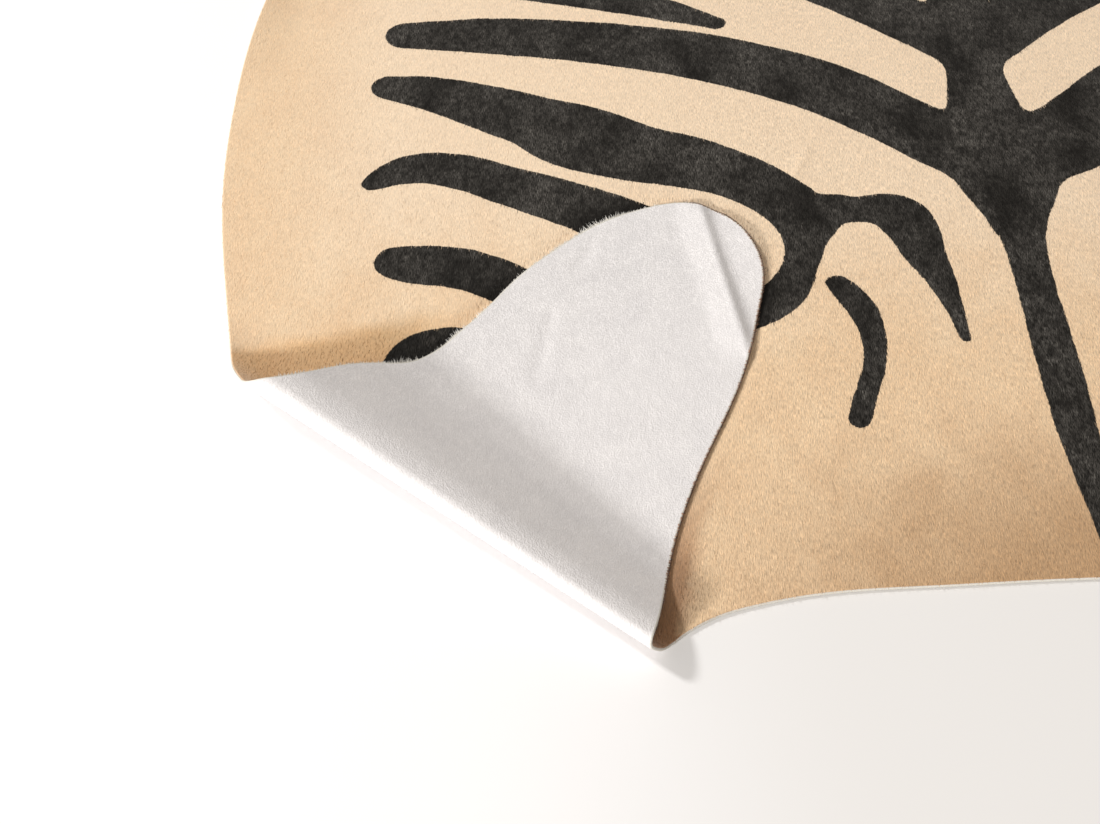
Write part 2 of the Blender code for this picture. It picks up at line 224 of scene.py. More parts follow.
# The print. Each stripe is a brush stroke: x, y and half width at each of its points. They are
# the left half's, and the right half is the same print, drawn a little differently.
STRIPES = {
    "hook": (
        (-0.715, 0.712, 0.022), (-0.660, 0.700, 0.032), (-0.580, 0.668, 0.043),
        (-0.535, 0.647, 0.0465), (-0.488, 0.6215, 0.0575), (-0.420, 0.593, 0.0505),
        (-0.357, 0.575, 0.045), (-0.305, 0.551, 0.040), (-0.262, 0.516, 0.037),
        (-0.241, 0.478, 0.030), (-0.2415, 0.435, 0.022), (-0.251, 0.402, 0.0192),
        (-0.2645, 0.373, 0.022), (-0.285, 0.352, 0.0245), (-0.320, 0.335, 0.027),
        (-0.370, 0.322, 0.030), (-0.430, 0.325, 0.031), (-0.490, 0.343, 0.031),
        (-0.540, 0.366, 0.0305), (-0.597, 0.395, 0.031), (-0.629, 0.4045, 0.0305),
        (-0.665, 0.408, 0.0295), (-0.687, 0.411, 0.024),
    ),
    "hook's inner limb": (
        (-0.245, 0.503, 0.028), (-0.2312, 0.476, 0.0255), (-0.2067, 0.495, 0.0255),
        (-0.176, 0.496, 0.021), (-0.150, 0.495, 0.026), (-0.128, 0.484, 0.033),
        (-0.117, 0.455, 0.029), (-0.111, 0.425, 0.024), (-0.100, 0.385, 0.0165),
        (-0.093, 0.345, 0.0105), (-0.088, 0.300, 0.006),
    ),
    "inside the hook": (
        (-0.724, 0.5385, 0.0112), (-0.7125, 0.5475, 0.0165), (-0.697, 0.5565, 0.021),
        (-0.678, 0.563, 0.0247), (-0.655, 0.565, 0.0275), (-0.625, 0.560, 0.0295),
        (-0.600, 0.551, 0.030), (-0.573, 0.538, 0.0315), (-0.533, 0.521, 0.034),
        (-0.494, 0.503, 0.036), (-0.450, 0.482, 0.037), (-0.405, 0.462, 0.034),
        (-0.370, 0.452, 0.026),
    ),
    "flank": (
        (-0.676, 0.222, 0.020), (-0.668, 0.250, 0.026), (-0.652, 0.276, 0.030),
        (-0.614, 0.285, 0.030), (-0.570, 0.272, 0.031), (-0.520, 0.245, 0.031),
        (-0.470, 0.210, 0.028), (-0.430, 0.170, 0.020),
    ),
    "rump": (
        (-0.211, 0.379, 0.013), (-0.201, 0.363, 0.016), (-0.190, 0.340, 0.0165),
        (-0.1838, 0.302, 0.013), (-0.1873, 0.265, 0.0118), (-0.1985, 0.232, 0.012),
        (-0.2125, 0.190, 0.0112),
    ),
    "spine": (
        (0.004, 0.030, 0.010), (-0.003, 0.200, 0.018), (0.004, 0.420, 0.026),
        (0.002, 0.490, 0.038), (0.000, 0.550, 0.056), (0.000, 0.610, 0.056),
        (0.004, 0.780, 0.036), (-0.004, 1.000, 0.034), (0.004, 1.250, 0.030),
        (-0.003, 1.500, 0.026), (0.004, 1.720, 0.022), (0.000, 1.830, 0.012),
    ),
    "belly, back": (
        (-0.010, 0.571, 0.042), (-0.057, 0.607, 0.0475), (-0.114, 0.657, 0.048),
        (-0.190, 0.713, 0.050), (-0.280, 0.755, 0.048), (-0.380, 0.785, 0.045),
        (-0.490, 0.805, 0.041), (-0.600, 0.815, 0.036), (-0.700, 0.815, 0.026),
    ),
    "belly, wedge": (
        (-0.735, 0.935, 0.020), (-0.660, 0.938, 0.029), (-0.560, 0.925, 0.033),
        (-0.460, 0.900, 0.031), (-0.370, 0.868, 0.022), (-0.310, 0.842, 0.012),
    ),
    "belly, front": (
        (-0.010, 0.790, 0.038), (-0.070, 0.850, 0.044), (-0.150, 0.920, 0.048),
        (-0.250, 0.985, 0.047), (-0.370, 1.030, 0.043), (-0.500, 1.055, 0.038),
        (-0.620, 1.060, 0.031), (-0.700, 1.055, 0.022),
    ),
    "elbow": (
        (-0.005, 1.000, 0.034), (-0.060, 1.060, 0.042), (-0.140, 1.125, 0.046),
        (-0.250, 1.170, 0.044), (-0.380, 1.195, 0.039), (-0.500, 1.200, 0.032),
        (-0.600, 1.190, 0.022),
    ),
    "shoulder": (
        (0.000, 1.190, 0.032), (-0.060, 1.250, 0.038), (-0.140, 1.300, 0.040),
        (-0.240, 1.335, 0.037), (-0.340, 1.350, 0.031), (-0.430, 1.350, 0.020),
    ),
    "shoulder's edge": ((-0.580, 1.360, 0.018), (-0.500, 1.400, 0.024), (-0.420, 1.420, 0.018)),
    "neck, back": (
        (0.000, 1.370, 0.028), (-0.050, 1.420, 0.033), (-0.120, 1.465, 0.034),
        (-0.200, 1.490, 0.028), (-0.270, 1.500, 0.018),
    ),
    "neck, middle": (
        (0.000, 1.550, 0.026), (-0.050, 1.595, 0.030), (-0.110, 1.630, 0.028),
        (-0.180, 1.650, 0.018),
    ),
    "neck, front": ((0.000, 1.700, 0.022), (-0.050, 1.740, 0.024), (-0.110, 1.765, 0.018)),
    "front leg, upper": ((-0.650, 1.280, 0.016), (-0.700, 1.330, 0.022), (-0.735, 1.385, 0.016)),
    "front leg, lower": ((-0.785, 1.290, 0.014), (-0.815, 1.350, 0.020), (-0.838, 1.410, 0.014)),
    "hind leg, upper": ((-0.570, -0.130, 0.014), (-0.620, -0.060, 0.021), (-0.690, -0.010, 0.016)),
    "hind leg, middle": ((-0.690, -0.230, 0.013), (-0.730, -0.150, 0.020), (-0.800, -0.080, 0.014)),
    "hind leg, lower": ((-0.810, -0.310, 0.012), (-0.840, -0.240, 0.017), (-0.885, -0.180, 0.012)),
}
PRINT_SHIFT = 0.003  # how far the whole print is moved towards the rump
STROKE_STEPS = 6  # straight pieces between two points of a brush stroke
STRIPE_BLEND = 0.020  # how softly two strokes run into each other
STRIPE_REACH = 0.060  # distances over this are only that
WAVER = 0.0007  # how far a stripe's edge strays in broad waves
FINE_WAVER = 0.0005
RIGHT_STRAY = 0.024  # how far the right half's stripes stray from the left half's
RIGHT_STRAY_FULL = 0.08  # distance from the spine where they do


# --- Laying the flat hide down ----------------------------------------------------------------

def smooth_step(value):
    """Rises from 0 to 1 as value does, level at both ends."""
    value = np.clip(value, 0.0, 1.0)
    return value * value * (3.0 - 2.0 * value)


def heading_vector(angle):
    return np.array((math.cos(angle), math.sin(angle)))


ALONG_FOLD = heading_vector(FOLD_HEADING)
ACROSS_FOLD = heading_vector(FOLD_HEADING + math.pi / 2.0)


def about_apex(places):
    """Distance from the fold's apex, and the angle outwards from the line where the leg lifts."""
    offset = places - FOLD_APEX
    return np.hypot(offset[:, 0], offset[:, 1]), np.arctan2(offset @ ACROSS_FOLD, offset @ ALONG_FOLD)


def turn_at(angles, dip):
    """How far the leather has turned, from 0 on the floor to pi on the turned leg."""
    turns = LIFT_TURN * smooth_step(angles / LIFT_ENDS)
    turns += (math.pi - LIFT_TURN) * smooth_step((angles - OVER_STARTS) / (OVER_ENDS - OVER_STARTS))
    turns += dip * smooth_step((angles - DESCENT_STARTS) / (DESCENT_STEEPEST - DESCENT_STARTS))
    return turns - dip * smooth_step((angles - LANDING_STARTS) / (LANDED - LANDING_STARTS))


def roll_profile(dip, step=0.0005):
    """Angles round the roll, and the roll's section (outwards, up) at each, 1 m from the apex."""
    angles = step * np.arange(round(LANDED / step) + 1)
    turns = turn_at(angles[:-1] + step / 2.0, dip)
    outwards = np.concatenate(((0.0,), np.cumsum(np.cos(turns)) * step))
    up = np.concatenate(((0.0,), np.cumsum(np.sin(turns)) * step))
    return angles, outwards, up


def landing_dip():
    """The slope of the way down that brings the leather back to its starting height."""
    low, high = 0.0, math.pi / 2.0
    for _ in range(40):
        dip = (low + high) / 2.0
        if roll_profile(dip)[2][-1] > 0.0:
            low = dip
        else:
            high = dip
    return dip


DIP = landing_dip()
ROLL_ANGLES, ROLL_OUTWARDS, ROLL_UP = roll_profile(DIP)


def line_places(places, start, end):
    """How far along a line each place is, as a share of its length, and how far to its left."""
    start, end = np.asarray(start), np.asarray(end)
    length = math.dist(start, end)
    direction = (end - start) / length
    offset = places - start
    return offset @ direction / length, offset @ np.array((-direction[1], direction[0])), length


def ridge_height(places):
    along, aside, _length = line_places(places, RIDGE_FROM, RIDGE_TO)
    width = np.where(aside > 0.0, RIDGE_LONG_SIDE, RIDGE_STEEP_SIDE)
    crest = 1.0 - smooth_step(np.abs(aside) / width)
    start = smooth_step((along - RIDGE_OVERRUN[0]) / RIDGE_FADE)
    end = smooth_step((RIDGE_OVERRUN[1] - along) / RIDGE_FADE)
    return RIDGE_HEIGHT * crest * start * end


def swell_height(places):
    height = np.zeros(len(places))
    for _name, x, y, half_length, half_width, heading, rise in SWELLS:
        direction = heading_vector(math.radians(heading))
        offset = places - np.array((x, y))
        along = offset @ direction / half_length
        aside = offset @ np.array((-direction[1], direction[0])) / half_width
        height += rise * (1.0 - smooth_step(np.hypot(along, aside)))
    return height


def crease_height(places):
    height = np.zeros(len(places))
    for _name, from_x, from_y, to_x, to_y, half_width, rise in CREASES:
        along, aside, length = line_places(places, (from_x, from_y), (to_x, to_y))
        beyond = np.maximum(np.maximum(-along, along - 1.0), 0.0) * length
        height += rise * (1.0 - smooth_step(np.hypot(beyond / 2.0, aside) / half_width))
    return height


def middle_layer(places):
    """Places in space of the sheet's middle layer, for places on the flat hide."""
    distance, angle = about_apex(places)
    turned = (angle > 0.0) & (angle < LEG_SIDE)
    bulges = swell_height(places) + crease_height(places)
    lain = np.column_stack((places, SHEET_THICKNESS / 2.0 + bulges))
    beyond = np.maximum(angle - LANDED, 0.0)
    outwards = np.interp(angle, ROLL_ANGLES, ROLL_OUTWARDS) - beyond
    up = np.interp(angle, ROLL_ANGLES, ROLL_UP)
    flat_spot = np.outer(np.cos(outwards), ALONG_FOLD) + np.outer(np.sin(outwards), ACROSS_FOLD)
    height = SHEET_THICKNESS / 2.0 + distance * up
    height += (SHEET_THICKNESS + LAYER_GAP) * smooth_step((angle - OVER_STARTS) / (LANDED - OVER_STARTS))
    height += np.where(angle > LANDED, bulges + ridge_height(places), 0.0)
    rolled = np.column_stack((FOLD_APEX + distance[:, None] * flat_spot, height))
    return np.where(turned[:, None], rolled, lain)


def lie_down(places, lift):
    """Places in space, lift metres off the middle layer on the hair's side."""
    reach = 0.0004  # to the neighbours that give the sheet's slope
    here = middle_layer(places)
    sideways = middle_layer(places + (reach, 0.0)) - middle_layer(places - (reach, 0.0))
    forwards = middle_layer(places + (0.0, reach)) - middle_layer(places - (0.0, reach))
    normals = np.cross(sideways, forwards)
    normals /= np.linalg.norm(normals, axis=1)[:, None]
    return here + normals * np.broadcast_to(lift, len(places))[:, None] - MIDDLE


def flat_rim():
    """The rim of the flat hide, counter-clockwise, as a smooth line through the landmarks."""
    right = [(row[3], row[4]) for row in LANDMARKS]
    left = [(-row[1], row[2]) for row in LANDMARKS]
    knots = right + left[::-1]
    curve = bpy.data.curves.new("rim", "CURVE")
    curve.resolution_u = RIM_STEPS
    spline = curve.splines.new("BEZIER")
    spline.bezier_points.add(len(knots) - 1)
    for knot, (x, y) in zip(spline.bezier_points, knots):
        knot.co = (x, y, 0.0)
        knot.handle_left_type = "AUTO"
        knot.handle_right_type = "AUTO"
    spline.use_cyclic_u = True
    guide = bpy.data.objects.new("rim", curve)
    bpy.context.scene.collection.objects.link(guide)
    bpy.context.view_layer.update()
    line = guide.to_mesh()
    points = np.array([corner.co[:2] for corner in line.vertices])
    guide.to_mesh_clear()
    bpy.data.objects.remove(guide)
    bpy.data.curves.remove(curve)
    return points


def evenly_spaced(line, spacing):
    """Points about spacing apart on a closed line."""
    closed = np.vstack((line, line[:1]))
    lengths = np.concatenate(((0.0,), np.cumsum(np.linalg.norm(np.diff(closed, axis=0), axis=1))))
    count = round(lengths[-1] / spacing)
    at = lengths[-1] * np.arange(count) / count
    return np.column_stack([np.interp(at, lengths, closed[:, axis]) for axis in (0, 1)])


def outward_normals(line):
    ahead = np.roll(line, -1, axis=0) - np.roll(line, 1, axis=0)
    normals = np.column_stack((ahead[:, 1], -ahead[:, 0]))
    return normals / np.linalg.norm(normals, axis=1)[:, None]


SMOOTH_RIM = flat_rim()
RIM = evenly_spaced(SMOOTH_RIM, RIM_SPACING)


def box_middle():
    """The middle of the laid hide's box, which the solid has at its origin."""
    spots = middle_layer(RIM)
    low, high = spots.min(axis=0), spots.max(axis=0)
    return np.array(((low[0] + high[0]) / 2.0, (low[1] + high[1]) / 2.0, 0.0))


MIDDLE = box_middle()


# --- Distances on the flat hide ---------------------------------------------------------------

MAP_CELL = 0.002
MAP_START = np.array((-1.06, -0.48))
MAP_SIZE = (1070, 1220)  # cells across and along
MAP_REACH = 0.030  # distances over this are only that
NOISE_CELLS = 256  # heights along each side of a noise, which repeats after one less
NOISE_START = 64.0  # keeps the cells' numbers over 0


def inside_map():
    """Which cells of the map have their middle inside the rim."""
    inside = np.zeros((MAP_SIZE[1], MAP_SIZE[0]), dtype=bool)
    centres = MAP_START[0] + MAP_CELL * (np.arange(MAP_SIZE[0]) + 0.5)
    start, end = RIM, np.roll(RIM, -1, axis=0)
    for row in range(MAP_SIZE[1]):
        y = MAP_START[1] + MAP_CELL * (row + 0.5)
        crossed = (start[:, 1] > y) != (end[:, 1] > y)
        first, last = start[crossed], end[crossed]
        crossings = first[:, 0] + (y - first[:, 1]) * (last[:, 0] - first[:, 0]) / (last[:, 1] - first[:, 1])
        inside[row] = np.searchsorted(np.sort(crossings), centres) % 2 == 1
    return inside


def rim_distance_map():
    """Distance from each cell's middle to the rim, positive inside it."""
    rim = evenly_spaced(SMOOTH_RIM, MAP_CELL / 2.0)
    nearest = np.full((MAP_SIZE[1], MAP_SIZE[0]), MAP_REACH)
    reach = round(MAP_REACH / MAP_CELL)
    cells = np.floor((rim - MAP_START) / MAP_CELL).astype(int)
    for down in range(-reach, reach + 1):
        for across in range(-reach, reach + 1):
            near = cells + (across, down)
            centres = MAP_START + MAP_CELL * (near + 0.5)
            distance = np.linalg.norm(centres - rim, axis=1)
            np.minimum.at(nearest, (near[:, 1], near[:, 0]), distance)
    return np.where(inside_map(), nearest, -nearest)


RIM_DISTANCES = rim_distance_map()


def between_cells(grid, corner, part):
    """The grid's value at a part of the way from a cell to its neighbours."""
    x, y = corner[:, 0], corner[:, 1]
    low = grid[y, x] * (1.0 - part[:, 0]) + grid[y, x + 1] * part[:, 0]
    high = grid[y + 1, x] * (1.0 - part[:, 0]) + grid[y + 1, x + 1] * part[:, 0]
    return low * (1.0 - part[:, 1]) + high * part[:, 1]


def rim_distance(places):
    """Distance to the rim, positive inside it and no more than MAP_REACH."""
    spots = (places - MAP_START) / MAP_CELL - 0.5
    corner = np.clip(np.floor(spots).astype(int), 0, np.array(MAP_SIZE) - 2)
    return between_cells(RIM_DISTANCES, corner, np.clip(spots - corner, 0.0, 1.0))


def soft_noise(places, cell, seed):
    """Smooth hills and dips between -1 and 1, about a cell apart."""
    heights = np.random.default_rng(seed).uniform(-1.0, 1.0, (NOISE_CELLS, NOISE_CELLS))
    spots = places / cell + NOISE_START
    corner = np.floor(spots).astype(int)
    return between_cells(heights, corner % (NOISE_CELLS - 1), smooth_step(spots - corner))


def brush_stroke(points):
    """The stroke's points with smooth bends between them, as rows of x, y and half width."""
    points = np.array(points)
    padded = np.vstack((2.0 * points[0] - points[1], points, 2.0 * points[-1] - points[-2]))
    steps = np.arange(STROKE_STEPS)[:, None] / STROKE_STEPS
    rows = []
    for before, start, end, after in zip(padded, padded[1:], padded[2:], padded[3:]):
        bend = 2.0 * before - 5.0 * start + 4.0 * end - after
        twist = 3.0 * start - before - 3.0 * end + after
        rows.append(start + 0.5 * steps * (end - before + steps * (bend + steps * twist)))
    return np.vstack((*rows, points[-1:]))


STROKES = [brush_stroke(points) for points in STRIPES.values()]


def print_distance(places):
    """Distance to the edge of the print's nearest stripe, negative in the stripe."""
    right = smooth_step(places[:, 0] / RIGHT_STRAY_FULL)
    stray = np.column_stack(
        (soft_noise(places, cell=0.23, seed=11), soft_noise(places, cell=0.19, seed=12))
    )
    spots = np.column_stack((-np.abs(places[:, 0]), places[:, 1] + PRINT_SHIFT))
    spots = spots + RIGHT_STRAY * right[:, None] * stray
    nearest = np.full(len(spots), STRIPE_REACH)
    for stroke in STROKES:
        margin = STRIPE_REACH + stroke[:, 2].max()
        low, high = stroke[:, :2].min(axis=0) - margin, stroke[:, :2].max(axis=0) + margin
        near = np.flatnonzero(((spots > low) & (spots < high)).all(axis=1))
        around = spots[near]
        distance = np.full(len(near), STRIPE_REACH)
        for start, end in zip(stroke, stroke[1:]):
            run = end[:2] - start[:2]
            part = np.clip((around - start[:2]) @ run / (run @ run), 0.0, 1.0)
            middle = start[:2] + part[:, None] * run
            half_width = start[2] + part * (end[2] - start[2])
            off = np.hypot(around[:, 0] - middle[:, 0], around[:, 1] - middle[:, 1]) - half_width
            distance = np.minimum(distance, off)
        blend = np.maximum(STRIPE_BLEND - np.abs(nearest[near] - distance), 0.0) / STRIPE_BLEND
        nearest[near] = np.minimum(nearest[near], distance) - STRIPE_BLEND * blend * blend / 4.0
    waver = WAVER * soft_noise(places, cell=0.021, seed=13)
    return nearest + (waver + FINE_WAVER * soft_noise(places, cell=0.006, seed=14))


# --- The sheets -------------------------------------------------------------------------------

PLAIN_SPACING = 0.020  # between a sheet's points where it is plain and nearly flat
LEG_SPACING = 0.008
DETAIL_SPACING = 0.0055  # at creases, and in the coat along the stripes' edges
STRIP_TURN = math.radians(5.0)  # the most that one strip of the roll turns from its neighbour
STRIP_WIDTH = 0.006
GRID_LOW = (-1.02, -0.44)  # the flat hide lies between these two corners
GRID_HIGH = (1.03, 1.94)
ROLL_FROM, ROLL_TO = 0.30, 1.30  # distances from the apex between which the roll lies
ROLL_SPACING = 0.012
ROLL_MARGIN = 0.003  # the angle past the roll that its own points keep clear
RIDGE_STEP = 0.006
RIDGE_ROWS = 5  # on each side of the ridge's crest
RIDGE_ROW_GAP = 0.0025
RIDGE_ROW_ENDS = (-0.12, 1.16)  # where along its length the rows start and end
RIDGE_CLEAR_ENDS = (-0.14, 1.18)  # and where other points may come again
RIDGE_CLEAR_ROWS = 0.6  # how many rows past the last one they may come
RIM_CLEAR = 0.0045  # no point comes nearer to the rim
PRINT_BAND = 0.009  # half width of the band along a stripe's edge that is finely cut
LEG_EDGE_BAND = 0.010  # half width of the one under the turned leg's edge
LEG_EDGE_BAND_OUT = 0.007  # how far outside that edge its middle is
CUT_PRECISION = 1e-7
SLIVER = 1e-12  # twice the area of a triangle that is left out
BAKE_MAP_SIZE = 2.45  # metres of flat hide across a whole texture map
BAKE_MAP_START = np.array((-1.03, -0.45))
HIDDEN_PATCH = np.array((0.90, 0.90))  # where on the map a face that never shows has its place
HIDDEN_SCALE = 0.04
MAP_MARGIN = 0.01
LOCK_MAP_REACH = 0.0015  # from a lock's root to its corners on the map
EDGE_HAIR_MAP_REACH = 0.0010
RING_MAP_STEP = 0.0024  # width on the map of each strip of a sheet's wall


def hexagon_grid(spacing):
    across = np.arange(GRID_LOW[0], GRID_HIGH[0], spacing)
    along = np.arange(GRID_LOW[1], GRID_HIGH[1], spacing * math.sqrt(0.75))
    x, y = np.meshgrid(across, along)
    x[1::2] += spacing / 2.0
    return np.column_stack((x.ravel(), y.ravel()))


def roll_grid():
    turned = np.abs(np.diff(turn_at(ROLL_ANGLES, DIP))) / STRIP_TURN
    strips = np.concatenate(((0.0,), np.cumsum(turned + np.diff(ROLL_ANGLES) / STRIP_WIDTH)))
    count = math.ceil(strips[-1])
    angles = np.interp(strips[-1] * np.arange(count + 1) / count, strips, ROLL_ANGLES)
    angle, distance = np.meshgrid(angles, np.arange(ROLL_FROM, ROLL_TO, ROLL_SPACING))
    heading = FOLD_HEADING + angle.ravel()
    return FOLD_APEX + distance.ravel()[:, None] * np.column_stack((np.cos(heading), np.sin(heading)))


def ridge_grid():
    """Close rows of points along the ridge on the turned leg, so that its crest is crisp."""
    run = RIDGE_TO - RIDGE_FROM
    length = math.hypot(*run)
    rows = np.arange(-RIDGE_ROWS, RIDGE_ROWS + 1) * RIDGE_ROW_GAP
    along, aside = np.meshgrid(np.arange(*RIDGE_ROW_ENDS, RIDGE_STEP / length), rows)
    across = np.array((-run[1], run[0])) / length
    return RIDGE_FROM + along.ravel()[:, None] * run + aside.ravel()[:, None] * across


def sheet_places(follow_print):
    """The places inside the rim that a sheet's triangles join."""

    def parts(places):
        angle = about_apex(places)[1]
        leg = (angle > LANDED + ROLL_MARGIN) & (angle < LEG_SIDE)
        body = (angle < -ROLL_MARGIN) | (angle >= LEG_SIDE)
        detail = (crease_height(places) != 0.0) | (leg & (ridge_height(places) > 0.0))
        along, aside, _length = line_places(places, RIDGE_FROM, RIDGE_TO)
        past_rows = np.abs(aside) > (RIDGE_ROWS + RIDGE_CLEAR_ROWS) * RIDGE_ROW_GAP
        leg &= past_rows | (along < RIDGE_CLEAR_ENDS[0]) | (along > RIDGE_CLEAR_ENDS[1])
        if follow_print:
            detail |= body & (np.abs(print_distance(places)) < PRINT_BAND)
            detail |= body & (np.abs(reach_under_leg(places) + LEG_EDGE_BAND_OUT) < LEG_EDGE_BAND)
        return leg, body, detail

    fine = hexagon_grid(DETAIL_SPACING)
    fine = fine[rim_distance(fine) > 0.0]
    leg, body, detail = parts(fine)
    fine = fine[(leg | body) & detail]
    plain = hexagon_grid(PLAIN_SPACING)
    _leg, body, detail = parts(plain)
    plain = plain[body & ~detail]
    on_leg = hexagon_grid(LEG_SPACING)
    leg, _body, detail = parts(on_leg)
    on_leg = on_leg[leg & ~detail]
    places = np.vstack((plain, on_leg, fine, roll_grid(), ridge_grid()))
    return places[rim_distance(places) > RIM_CLEAR]


def triangles_between(rim, places):
    """The places with the rim's points first, and the triangles that fill the rim."""
    points = np.vstack((rim, places))
    corners = [Vector(point) for point in points.tolist()]
    keep_inside = 1
    found = geometry.delaunay_2d_cdt(
        corners, [], [list(range(len(rim)))], keep_inside, CUT_PRECISION
    )
    origin = np.array([sources[0] for sources in found[3]])
    triangles = origin[np.array(found[2])]
    first, second, third = (points[triangles[:, corner]] for corner in range(3))
    turn = np.cross(second - first, third - first)
    triangles = triangles[np.abs(turn) > SLIVER]
    turn = turn[np.abs(turn) > SLIVER]
    triangles[turn < 0.0] = triangles[turn < 0.0][:, ::-1]
    return points, triangles


def set_values(mesh, values):
    """Gives a mesh's points their named numbers or vectors."""
    for title, numbers in values.items():
        kind, key = ("FLOAT", "value") if numbers.ndim == 1 else ("FLOAT_VECTOR", "vector")
        layer = mesh.attributes.new(title, kind, "POINT")
        layer.data.foreach_set(key, numbers.astype(np.float32).ravel())


def level_vectors(places):
    return np.column_stack((places, np.zeros(len(places))))


def new_mesh(name, spots, triangles, corner_map, values):
    """A mesh from arrays. values are its named numbers or vectors, one for each of its points."""
    mesh = bpy.data.meshes.new(name)
    mesh.vertices.add(len(spots))
    mesh.vertices.foreach_set("co", spots.astype(np.float32).ravel())
    mesh.loops.add(3 * len(triangles))
    mesh.loops.foreach_set("vertex_index", triangles.astype(np.int32).ravel())
    mesh.polygons.add(len(triangles))
    mesh.polygons.foreach_set("loop_start", np.arange(0, 3 * len(triangles), 3, dtype=np.int32))
    mesh.update(calc_edges=True)
    mesh.uv_layers.new(name="OFBake").data.foreach_set("uv", corner_map.astype(np.float32).ravel())
    set_values(mesh, values)
    piece = bpy.data.objects.new(name, mesh)
    bpy.context.scene.collection.objects.link(piece)
    return piece


def map_place(places):
    return (places - BAKE_MAP_START) / BAKE_MAP_SIZE


def closed_sheet(name, rings, under_places, top_places, shown):
    """A closed sheet. Each ring of its wall, from the underside to the top, is how far it lies in
    from the rim and a rule for its height. shown is the face, under or top, that fills the map."""
    outward = outward_normals(RIM)
    ring_places = [RIM - inset * outward for inset, _lift in rings]
    under, under_triangles = triangles_between(ring_places[0], under_places)
    top, top_triangles = triangles_between(ring_places[-1], top_places)
    layers = [under, *ring_places[1:-1], top]
    starts = np.cumsum([0] + [len(layer) for layer in layers[:-1]])
    flat = np.vstack(layers)
    spots = np.vstack([lie_down(layer, lift(layer)) for layer, (_inset, lift) in zip(layers, rings)])
    step = np.arange(len(RIM))
    ahead = (step + 1) % len(RIM)
    wall_triangles = np.vstack([
        np.vstack((
            np.column_stack((low + step, low + ahead, high + ahead)),
            np.column_stack((low + step, high + ahead, high + step)),
        ))
        for low, high in zip(starts, starts[1:])
    ])
    under_triangles = under_triangles[:, ::-1]
    top_triangles = top_triangles + starts[-1]
    # On the map the wall is a band round the shown face.
    shown_ring = 0 if shown == "under" else len(rings) - 1
    band = map_place(flat)
    for index, start in enumerate(starts):
        out = RING_MAP_STEP * abs(index - shown_ring)
        band[start:start + len(RIM)] = map_place(ring_places[shown_ring] + out * outward)
    hidden_map = HIDDEN_PATCH + HIDDEN_SCALE * map_place(flat)
    maps = (map_place(flat), hidden_map) if shown == "under" else (hidden_map, map_place(flat))
    corner_map = np.vstack((
        maps[0][under_triangles.ravel()], band[wall_triangles.ravel()], maps[1][top_triangles.ravel()]
    ))
    triangles = np.vstack((under_triangles, wall_triangles, top_triangles))
    piece = new_mesh(name, spots, triangles, corner_map, {"flat_place": level_vectors(flat)})
    kinds = np.repeat((0, 1, 0), (len(under_triangles), len(wall_triangles), len(top_triangles)))
    piece.data.polygons.foreach_set("material_index", kinds.astype(np.int32))
    piece.data.shade_smooth()
    return piece, flat


def steady(value):
    """A rule that gives every place the same value."""
    return lambda places: np.full(len(places), value)


def reach_under_leg(places):
    """How far under the turned leg a place lies, negative in the open and on the leg itself."""
    distance, angle = about_apex(places)
    heading = FOLD_HEADING + LANDED + ROLL_OUTWARDS[-1] - angle
    above = FOLD_APEX + distance[:, None] * np.column_stack((np.cos(heading), np.sin(heading)))
    leg_itself = (angle > 0.0) & (angle < LEG_SIDE)
    return np.where(leg_itself, -MAP_REACH, rim_distance(above))


def under_the_leg(places):
    """1 where the body lies under the turned leg and 0 in the open, for places on the flat hide."""
    return smooth_step((reach_under_leg(places) + UNDER_FROM) / UNDER_SOFT)


def fold_shade_depth(places):
    """How much painted brown shade the hair gets for lying deep in the fold: 1 inside the roll's narrow end,
    0 in the open.
    """
    distance, angle = about_apex(places)
    beside = smooth_step(FOLD_BESIDE + FOLD_BESIDE * reach_under_leg(places) / MAP_REACH)
    beside *= 1.0 - smooth_step((ROLL_OUTWARDS[-1] - angle) / FOLD_BESIDE_ANGLE)
    inside = (1.0 - smooth_step((angle - LANDED) / FOLD_INSIDE_ANGLE)) * (angle > 0.0)
    narrow = 1.0 - smooth_step((distance - FOLD_NARROW_END) / FOLD_FADE)
    return np.maximum(beside, inside) * (FOLD_WIDE_END + (1.0 - FOLD_WIDE_END) * narrow)


def roll_shadow_tint(places):
    """Painted shadow: 1 where the roll's wide end shades the hair, which gets a redder tint, and 0 away from
    it.
    """
    angle = about_apex(places)[1]
    ahead = line_places(places, SHADE_TINT_FROM, SHADE_TINT_TO)[1]
    back = smooth_step((SHADE_TINT_FROM[0] + SHADE_TINT_LENGTH - places[:, 0]) / SHADE_TINT_FADE)
    return (1.0 - smooth_step((ahead + SHADE_TINT_SOFT / 2.0) / SHADE_TINT_SOFT)) * back * (angle < LANDED)


def shade_beside_leg(places):
    """Painted shade: 1 in the hair at the turned leg's edge and under it, where the leg shades it, and 0
    away from it.
    """
    return smooth_step(1.0 + reach_under_leg(places) / MAP_REACH)


def hair_values(places):
    """The numbers that the hair's colour depends on besides the print: where shade is painted into it."""
    return {
        "fold": fold_shade_depth(places), "shade_tint": roll_shadow_tint(places), "beside": shade_beside_leg(places)
    }


def coat_squeeze(places):
    """How much of its height the coat keeps: less where the turned leg presses on it."""
    angle = about_apex(places)[1]
    on_leg = smooth_step((angle - LANDED + PRESSED_FROM) / PRESSED_SOFT) * (angle < LEG_SIDE)
    return 1.0 - COAT_PRESSED * np.maximum(on_leg, under_the_leg(places))


def coat_top(places):
    """Height of the coat's dense hair over the sheet's middle layer."""
    return SHEET_THICKNESS / 2.0 + COAT_THICKNESS * coat_squeeze(places)


HALF = SHEET_THICKNESS / 2.0


def flesh_side(places):
    """Height of the leather's bare side over the sheet's middle layer."""
    angle = about_apex(places)[1]
    return LEG_THIN * smooth_step((angle - OVER_ENDS) / LEG_THIN_ANGLE) * (angle < LEG_SIDE) - HALF


